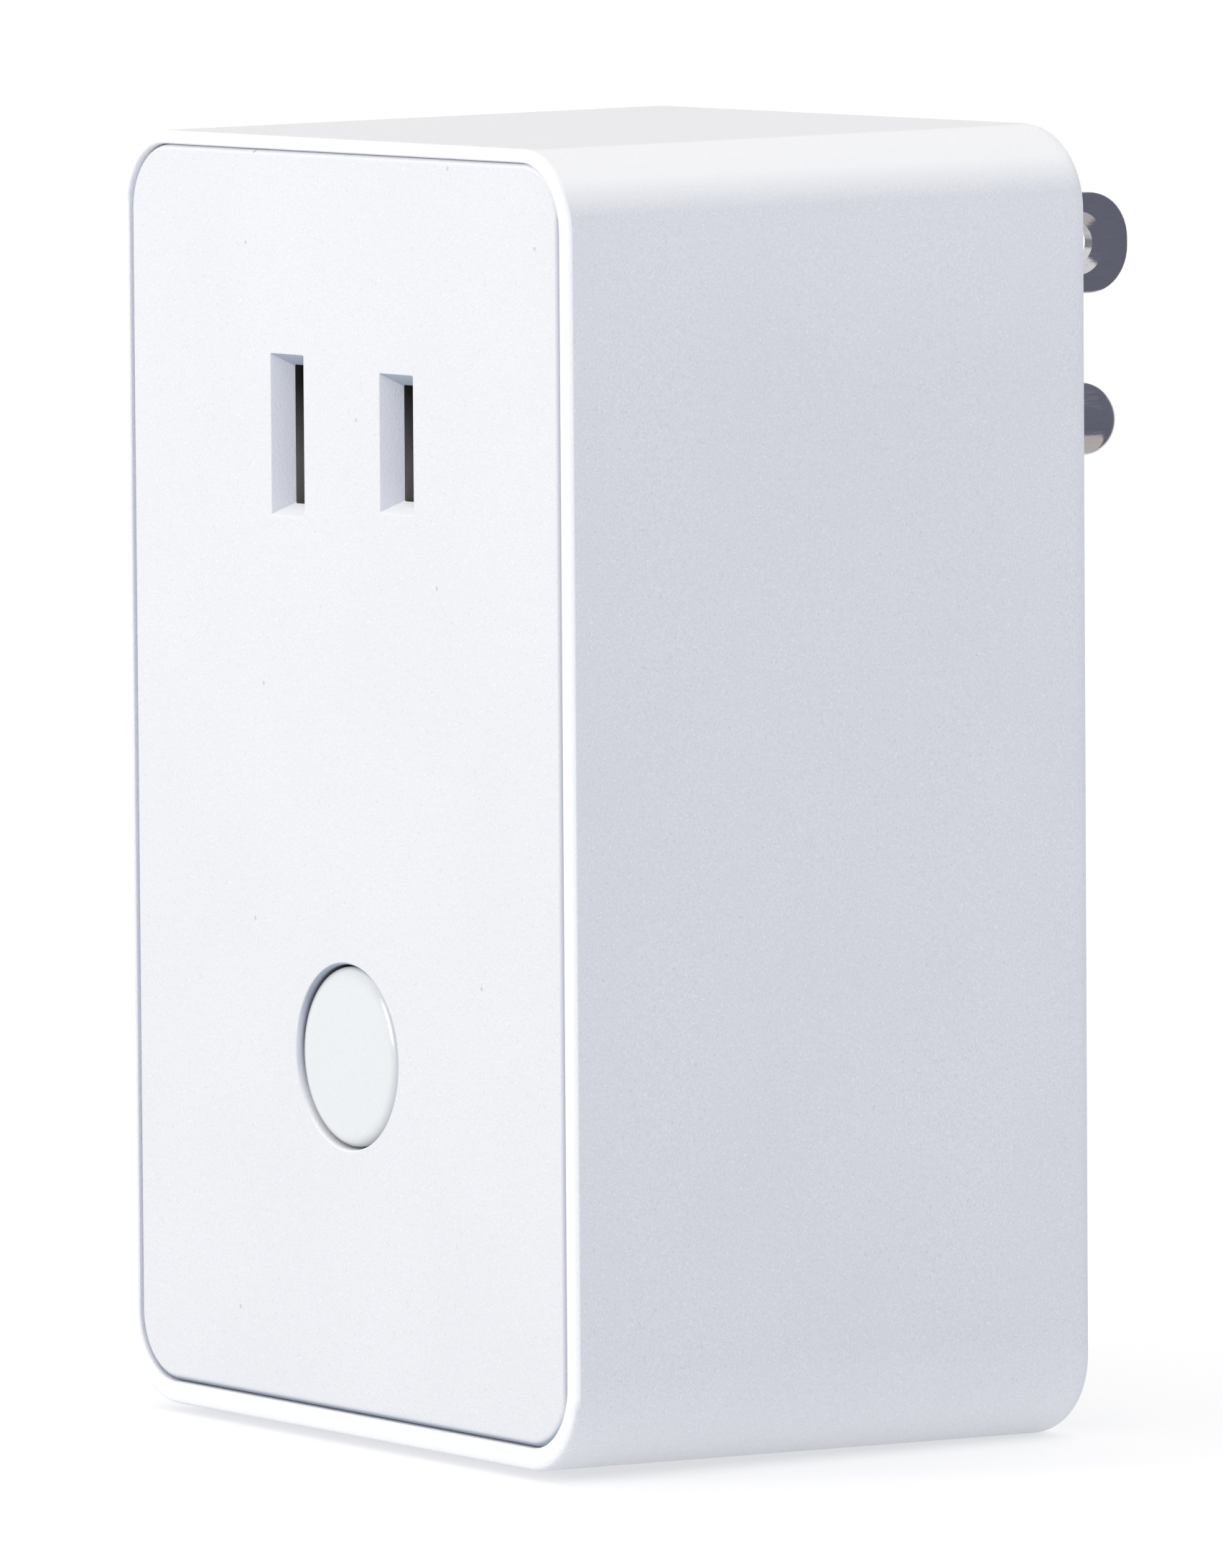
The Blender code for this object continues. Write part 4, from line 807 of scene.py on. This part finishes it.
def make_panel():
    low, high = span("front_panel")
    face = low.y
    centre = middle("front_panel")
    back = span("housing")[0].y + SEAT_DEPTH - GAP
    wider = span("housing")[1].x - RIM - PANEL_GAP - high.x
    radius = CORNER_RADIUS - RIM - PANEL_GAP

    def outline(inset):
        return rounded_rectangle(high.x + wider - inset, (high.z - low.z) / 2 + wider - inset,
                                 radius - inset, (centre.x, centre.z))

    sections = [(back, outline(0.0)), (face + PANEL_FILLET, outline(SEAM - PANEL_GAP))]
    for inset, y in round_arc((PANEL_FILLET, face + PANEL_FILLET), PANEL_FILLET, 180, 270, 10):
        sections.append((y, outline(inset)))

    buried = back - BURIED
    board_front = span("power_board")[0].y
    control_front = span("control_board")[0].y
    joined = []
    cut = []
    for number in range(1, 5):
        spot = middle(f"housing_screw_{number}")
        joined.append(rod("pillar", PILLAR_RADIUS, spot.x, spot.z, buried, board_front - GAP))
        cut.append(rod("pillar_pilot", PILLAR_PILOT_RADIUS, spot.x, spot.z, *PILLAR_PILOT))
    peg = [(0, PEG_LENGTH), (PEG_RADIUS - 0.15, PEG_LENGTH), (PEG_RADIUS, PEG_LENGTH - 0.2),
           (PEG_RADIUS, PEG_SHOULDER), (POST_RADIUS, PEG_SHOULDER), (POST_RADIUS, -BURIED), (0, -BURIED)]
    for number in (1, 2):
        spot = middle(f"control_board_screw_{number}")
        joined.append(rod("post", POST_RADIUS, spot.x, spot.z, buried, control_front - GAP))
        cut.append(rod("post_pilot", POST_PILOT_RADIUS, spot.x, spot.z, *POST_PILOT))
        joined.append(turned("peg", peg, (-spot.x, back, spot.z), steps=32))

    block_low, block_high = span("socket_block")
    outside = GAP + SOCKET_FRAME_WALL
    joined.append(box("socket_frame", (block_low.x - outside, buried, block_low.z - outside),
                      (block_high.x + outside, SOCKET_FRAME_END, block_high.z + outside)))
    cut.append(box("socket_frame_inside", (block_low.x - GAP, face + MOUTH_DEPTH, block_low.z - GAP),
                   (block_high.x + GAP, SOCKET_FRAME_END + THROUGH, block_high.z + GAP)))
    cut.append(slot_shape(middle("socket_contact_neutral"), NEUTRAL_MOUTH, face))
    cut.append(slot_shape(middle("socket_contact_line"), LINE_MOUTH, face))

    button = middle("button_cap")
    joined.append(rod("button_collar", COLLAR_RADIUS, button.x, button.z, buried, COLLAR_END, ROUND_STEPS))
    step_at = back - face - 0.1
    end_at = COLLAR_END - face + THROUGH
    mouth = CAP_HOLE_RADIUS + CAP_HOLE_EDGE
    hole = [(0, -THROUGH), (mouth, -THROUGH), (mouth, 0.0)]
    hole += arc((mouth, CAP_HOLE_EDGE_DEPTH), (CAP_HOLE_EDGE, CAP_HOLE_EDGE_DEPTH), -90, -180, 10)[1:]
    hole += [(CAP_HOLE_RADIUS, step_at), (COLLAR_BORE, step_at), (COLLAR_BORE, end_at), (0, end_at)]
    cut.append(turned("button_hole", hole, (button.x, face, button.z), steps=160))
    plate = shaped(lofted("front_plate", sections), joined, cut)
    return piece(plate, "front_panel", look_of("front_panel"))


def make_label():
    low, high = span("rating_label")
    half_size = (high - low) / 2
    centre = middle("rating_label")
    sections = []
    for y, inset in ((low.y, 0.0), (high.y - 0.06, 0.0), (high.y - 0.02, 0.02), (high.y, 0.07)):
        sections.append((y, rounded_rectangle(half_size.x - inset, half_size.z - inset, 1.3 - inset,
                                              (centre.x, centre.z), 12)))
    return piece(lofted("blank_label", sections), "rating_label", look_of("rating_label"))


def make_button():
    low, high = span("button_cap")
    centre = middle("button_cap")
    stem_end = high.y - low.y
    flat = CAP_RADIUS - CAP_EDGE
    flange_end = CAP_DEPTH + CAP_FLANGE
    corner = 0.1
    profile = [(0, 0.0), (2.8, 0.01), (flat, CAP_CROWN)]
    profile += arc((flat, CAP_CROWN + CAP_EDGE_DEPTH), (CAP_EDGE, CAP_EDGE_DEPTH), -90, 0, 14)[1:]
    profile += [(CAP_RADIUS, CAP_DEPTH), (CAP_FLANGE_RADIUS - corner, CAP_DEPTH),
                (CAP_FLANGE_RADIUS, CAP_DEPTH + corner), (CAP_FLANGE_RADIUS, flange_end - corner),
                (CAP_FLANGE_RADIUS - corner, flange_end), (CAP_HOLLOW_RADIUS, flange_end),
                (CAP_HOLLOW_RADIUS, CAP_HOLLOW_ROOF), (CAP_STEM_RADIUS, CAP_HOLLOW_ROOF),
                (CAP_STEM_RADIUS, stem_end - 0.15), (CAP_STEM_RADIUS - 0.15, stem_end), (0, stem_end)]
    cap = turned("button_face", profile, (centre.x, low.y, centre.z), steps=160)
    return piece(cap, "button_cap", look_of("button_cap"), 45)


# ---------------------------------------------------------------- plug

def make_blade(node_name, name):
    low, high = span(node_name)
    centre = middle(node_name)
    half = BLADE_HEIGHT / 2
    shoulder_half = (high.z - low.z) / 2
    inner, outer = BLADE_SHOULDER
    side = [(low.y, -BLADE_TAIL_HALF), (inner, -BLADE_TAIL_HALF), (inner, -shoulder_half),
            (outer, -shoulder_half), (outer, -half)]
    side += round_arc((high.y - BLADE_TIP, -half + BLADE_TIP), BLADE_TIP, -90, 0, 12)
    side += [(y, -z) for y, z in reversed(side)]
    rings = [[(x, y, centre.z + z) for y, z in side] for x in (low.x, high.x)]
    blade = skinned(name, rings)
    soften(blade, BLADE_ROUNDING, 3)
    hole = BLADE_HOLE_RADIUS
    flare = hole + BLADE_HOLE_FLARE
    half_thickness = (high.x - low.x) / 2
    land = half_thickness - BLADE_HOLE_CHAMFER
    widest = flare + 2.6
    eye = [(0, 2.0), (widest, 2.0), (flare, half_thickness), (hole, land), (hole, -land),
           (flare, -half_thickness), (widest, -2.0), (0, -2.0)]
    cut = turned("blade_eye", eye, (centre.x, BLADE_HOLE_AT, centre.z), (1, 0, 0), 64)
    return piece(shaped(blade, cut=[cut]), node_name, look_of(node_name), 20)


def make_pin():
    low, high = span("plug_ground_pin")
    centre = middle("plug_ground_pin")
    inner, outer = PIN_FLANGE
    corner = 0.1
    profile = [(0, high.y)]
    profile += arc((0, high.y - PIN_TIP), (PIN_RADIUS, PIN_TIP), 90, 0, 16)[1:]
    profile += [(PIN_RADIUS, outer), (PIN_FLANGE_RADIUS - corner, outer), (PIN_FLANGE_RADIUS, outer - corner),
                (PIN_FLANGE_RADIUS, inner + corner), (PIN_FLANGE_RADIUS - corner, inner),
                (PIN_TAIL_RADIUS, inner), (PIN_TAIL_RADIUS, low.y + 0.2), (PIN_TAIL_RADIUS - 0.2, low.y),
                (0, low.y)]
    pin = turned("ground_pin", profile, (centre.x, 0, centre.z))
    return piece(pin, "plug_ground_pin", look_of("plug_ground_pin"), 50)


# ---------------------------------------------------------------- outlet and screws

def make_socket_block():
    low, high = span("socket_block")
    front = span("front_panel")[0].y + MOUTH_DEPTH + SEAM
    block = box("socket_insert", (low.x, front, low.z), high, 0.3)
    cut = []
    mouth = MOUTH_WIDTH / 2 - MOUTH_CHAMFER
    for name, height in (("socket_contact_neutral", NEUTRAL_MOUTH), ("socket_contact_line", LINE_MOUTH)):
        spot = middle(name)
        tall = height / 2 - MOUTH_CHAMFER
        pocket = low.y + POCKET_START
        cut.append(box("contact_pocket", (spot.x - POCKET_HALF_WIDTH, pocket, spot.z - POCKET_HALF_HEIGHT),
                       (spot.x + POCKET_HALF_WIDTH, high.y + THROUGH, spot.z + POCKET_HALF_HEIGHT)))
        cut.append(box("contact_mouth", (spot.x - mouth, low.y - THROUGH, spot.z - tall),
                       (spot.x + mouth, pocket + 0.4, spot.z + tall)))
    centre = middle("socket_block")
    for side in (-1, 1):
        inner = side * (high.x - NOTCH_DEPTH)
        outer = side * (high.x + THROUGH)
        cut.append(box("latch_notch", (min(inner, outer), NOTCH[0], centre.z - NOTCH_HALF_HEIGHT),
                       (max(inner, outer), NOTCH[1], centre.z + NOTCH_HALF_HEIGHT)))
    return piece(shaped(block, cut=cut), "socket_block", look_of("socket_block"))


def make_screw(number):
    node_name = f"housing_screw_{number}"
    low, high = span(node_name)
    centre = middle(node_name)
    top = high.y
    profile = [(0, top)]
    profile += arc((0, top - SCREW_HEAD_DOME), (SCREW_HEAD_RADIUS, SCREW_HEAD_DOME), 80, 0, 10)
    profile += [(SCREW_HEAD_RADIUS, SCREW_SEAT), (SCREW_THREAD_RADIUS, SCREW_SEAT),
                (SCREW_THREAD_RADIUS, SCREW_THREAD_END), (0.5, low.y), (0, low.y)]
    screw = turned(f"back_screw_{number}", profile, (centre.x, 0, centre.z))
    drive = []
    for height, arm, half_width in ((0.6, 1.75, 0.45), (-0.35, 1.55, 0.38), (-1.15, 0.75, 0.22)):
        drive.append((top + height, cross(arm, half_width, centre, 17 * number)))
    recess = lofted("cross_recess", drive)
    return piece(shaped(screw, cut=[recess]), node_name, look_of(node_name), 40)


def cross(arm, half_width, centre, degrees):
    """A cross outline about a point, turned as the driver left it."""
    outline = []
    for quarter in range(4):
        turn = Matrix.Rotation(math.radians(90 * quarter + degrees), 2)
        for point in ((half_width, half_width), (half_width, arm), (-half_width, arm)):
            x, z = turn @ Vector(point)
            outline.append((centre.x + x, centre.z + z))
    return outline


# ---------------------------------------------------------------- studio

def make_floor():
    level = cad_box[0].z
    bm = bmesh.new()
    bm.faces.new([bm.verts.new((x * FLOOR_HALF, y * FLOOR_HALF, level))
                  for x, y in ((-1, -1), (1, -1), (1, 1), (-1, 1))])
    floor = linked("floor", bm)
    look, tree, shader = new_look("floor", (FLOOR_GREY,) * 3, 0.9)
    paper = noise(tree, here(tree), 30.0, 2.0)
    tree.links.new(mixed(tree, paper, (FLOOR_GREY - 0.005,) * 3, (FLOOR_GREY + 0.005,) * 3),
                   shader.inputs["Base Color"])
    shader.inputs["Specular IOR Level"].default_value = 0.0
    shader.inputs["Emission Color"].default_value = (1.0, 1.0, 1.0, 1.0)
    shader.inputs["Emission Strength"].default_value = FLOOR_GLOW
    floor.data.materials.append(look)
    floor.visible_glossy = False


def make_world():
    """A white surround, brighter overhead. Shiny pieces see a bright studio with a dark far side."""
    world = bpy.data.worlds.new("studio")
    bpy.context.scene.world = world
    world.use_nodes = True
    tree = world.node_tree
    sky = tree.nodes["Background"]
    place = node(tree, "SeparateXYZ", Vector=node(tree, "TexCoord").outputs["Generated"])
    away = result(tree, 'MAXIMUM', spread(tree, place.outputs["X"], -0.6, -0.35),
                  result(tree, 'MULTIPLY', spread(tree, place.outputs["Y"], -0.1, 0.1),
                         spread(tree, place.outputs["Z"], 0.18, 0.3)))
    below = spread(tree, place.outputs["Z"], -0.66, -0.6)
    window = result(tree, 'MULTIPLY', spread(tree, place.outputs["Z"], 0.5, 0.53),
                    spread(tree, place.outputs["Y"], 0.54, 0.5))
    dark = result(tree, 'MULTIPLY', result(tree, 'MULTIPLY', away, below),
                  result(tree, 'SUBTRACT', 1.0, window))
    bright = mixed(tree, spread(tree, place.outputs["Z"], -0.62, -0.4), (0.62, 0.59, 0.56),
                   (0.95, 0.95, 0.95))
    studio = mixed(tree, dark, bright, (0.17, 0.175, 0.235))
    overhead = spread(tree, place.outputs["Z"], -0.2, 0.9)
    surround = mixed(tree, overhead, (0.57, 0.61, 0.70), (1.12, 1.105, 1.085))
    rays = node(tree, "LightPath")
    tree.links.new(mixed(tree, rays.outputs["Is Glossy Ray"], surround, studio), sky.inputs["Color"])
    sky.inputs["Strength"].default_value = 1.0


def make_key_light():
    low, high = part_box("housing")
    target = (low + high) / 2
    above = target + Vector((0.0, 0.0, KEY_AIM_ABOVE))
    light = bpy.data.lights.new("key", 'AREA')
    light.shape = 'RECTANGLE'
    light.size = KEY_WIDTH
    light.size_y = KEY_HEIGHT
    light.energy = KEY_ENERGY
    light.spread = math.radians(KEY_SPREAD)
    light.color = KEY_COLOUR
    lamp = bpy.data.objects.new("key", light)
    lamp.location = target + Vector(KEY_TOWARDS).normalized() * KEY_DISTANCE
    lamp.rotation_euler = (lamp.location - above).to_track_quat('Z', 'Y').to_euler()
    bpy.context.scene.collection.objects.link(lamp)


def make_camera():
    low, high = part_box("housing")
    azimuth = math.radians(AZIMUTH)
    elevation = math.radians(ELEVATION)
    roll = math.radians(ROLL)
    back = Vector((math.sin(azimuth) * math.cos(elevation), -math.cos(azimuth) * math.cos(elevation),
                   math.sin(elevation)))
    level = Vector((math.cos(azimuth), math.sin(azimuth), 0.0))
    upright = back.cross(level)
    right = level * math.cos(roll) - upright * math.sin(roll)
    up = level * math.sin(roll) + upright * math.cos(roll)
    lens = bpy.data.cameras.new("camera")
    lens.lens = LENS
    lens.sensor_width = 36.0
    lens.clip_start = 0.05
    lens.clip_end = 60.0
    camera = bpy.data.objects.new("camera", lens)
    turn = Matrix((right, up, back)).transposed()
    camera.matrix_world = Matrix.Translation((low + high) / 2 + level * AIM_RIGHT + upright * AIM_UP
                                             + back * DISTANCE) @ turn.to_4x4()
    bpy.context.scene.collection.objects.link(camera)
    bpy.context.scene.camera = camera
    bpy.context.scene.view_settings.view_transform = 'Standard'


# ---------------------------------------------------------------- the whole scene

def dress_frame():
    """Gives every CAD node its procedural look, also those that a finished piece hides."""
    for name, shown in frame["nodes"].items():
        shown.data.materials.clear()
        shown.data.materials.append(look_of(name))


def main():
    dress_frame()
    make_housing()
    make_panel()
    make_label()
    make_button()
    make_blade("plug_blade_neutral", "blade_neutral")
    make_blade("plug_blade_line", "blade_line")
    make_pin()
    make_socket_block()
    for number in range(1, 5):
        make_screw(number)
    make_floor()
    make_world()
    make_key_light()
    make_camera()


main()
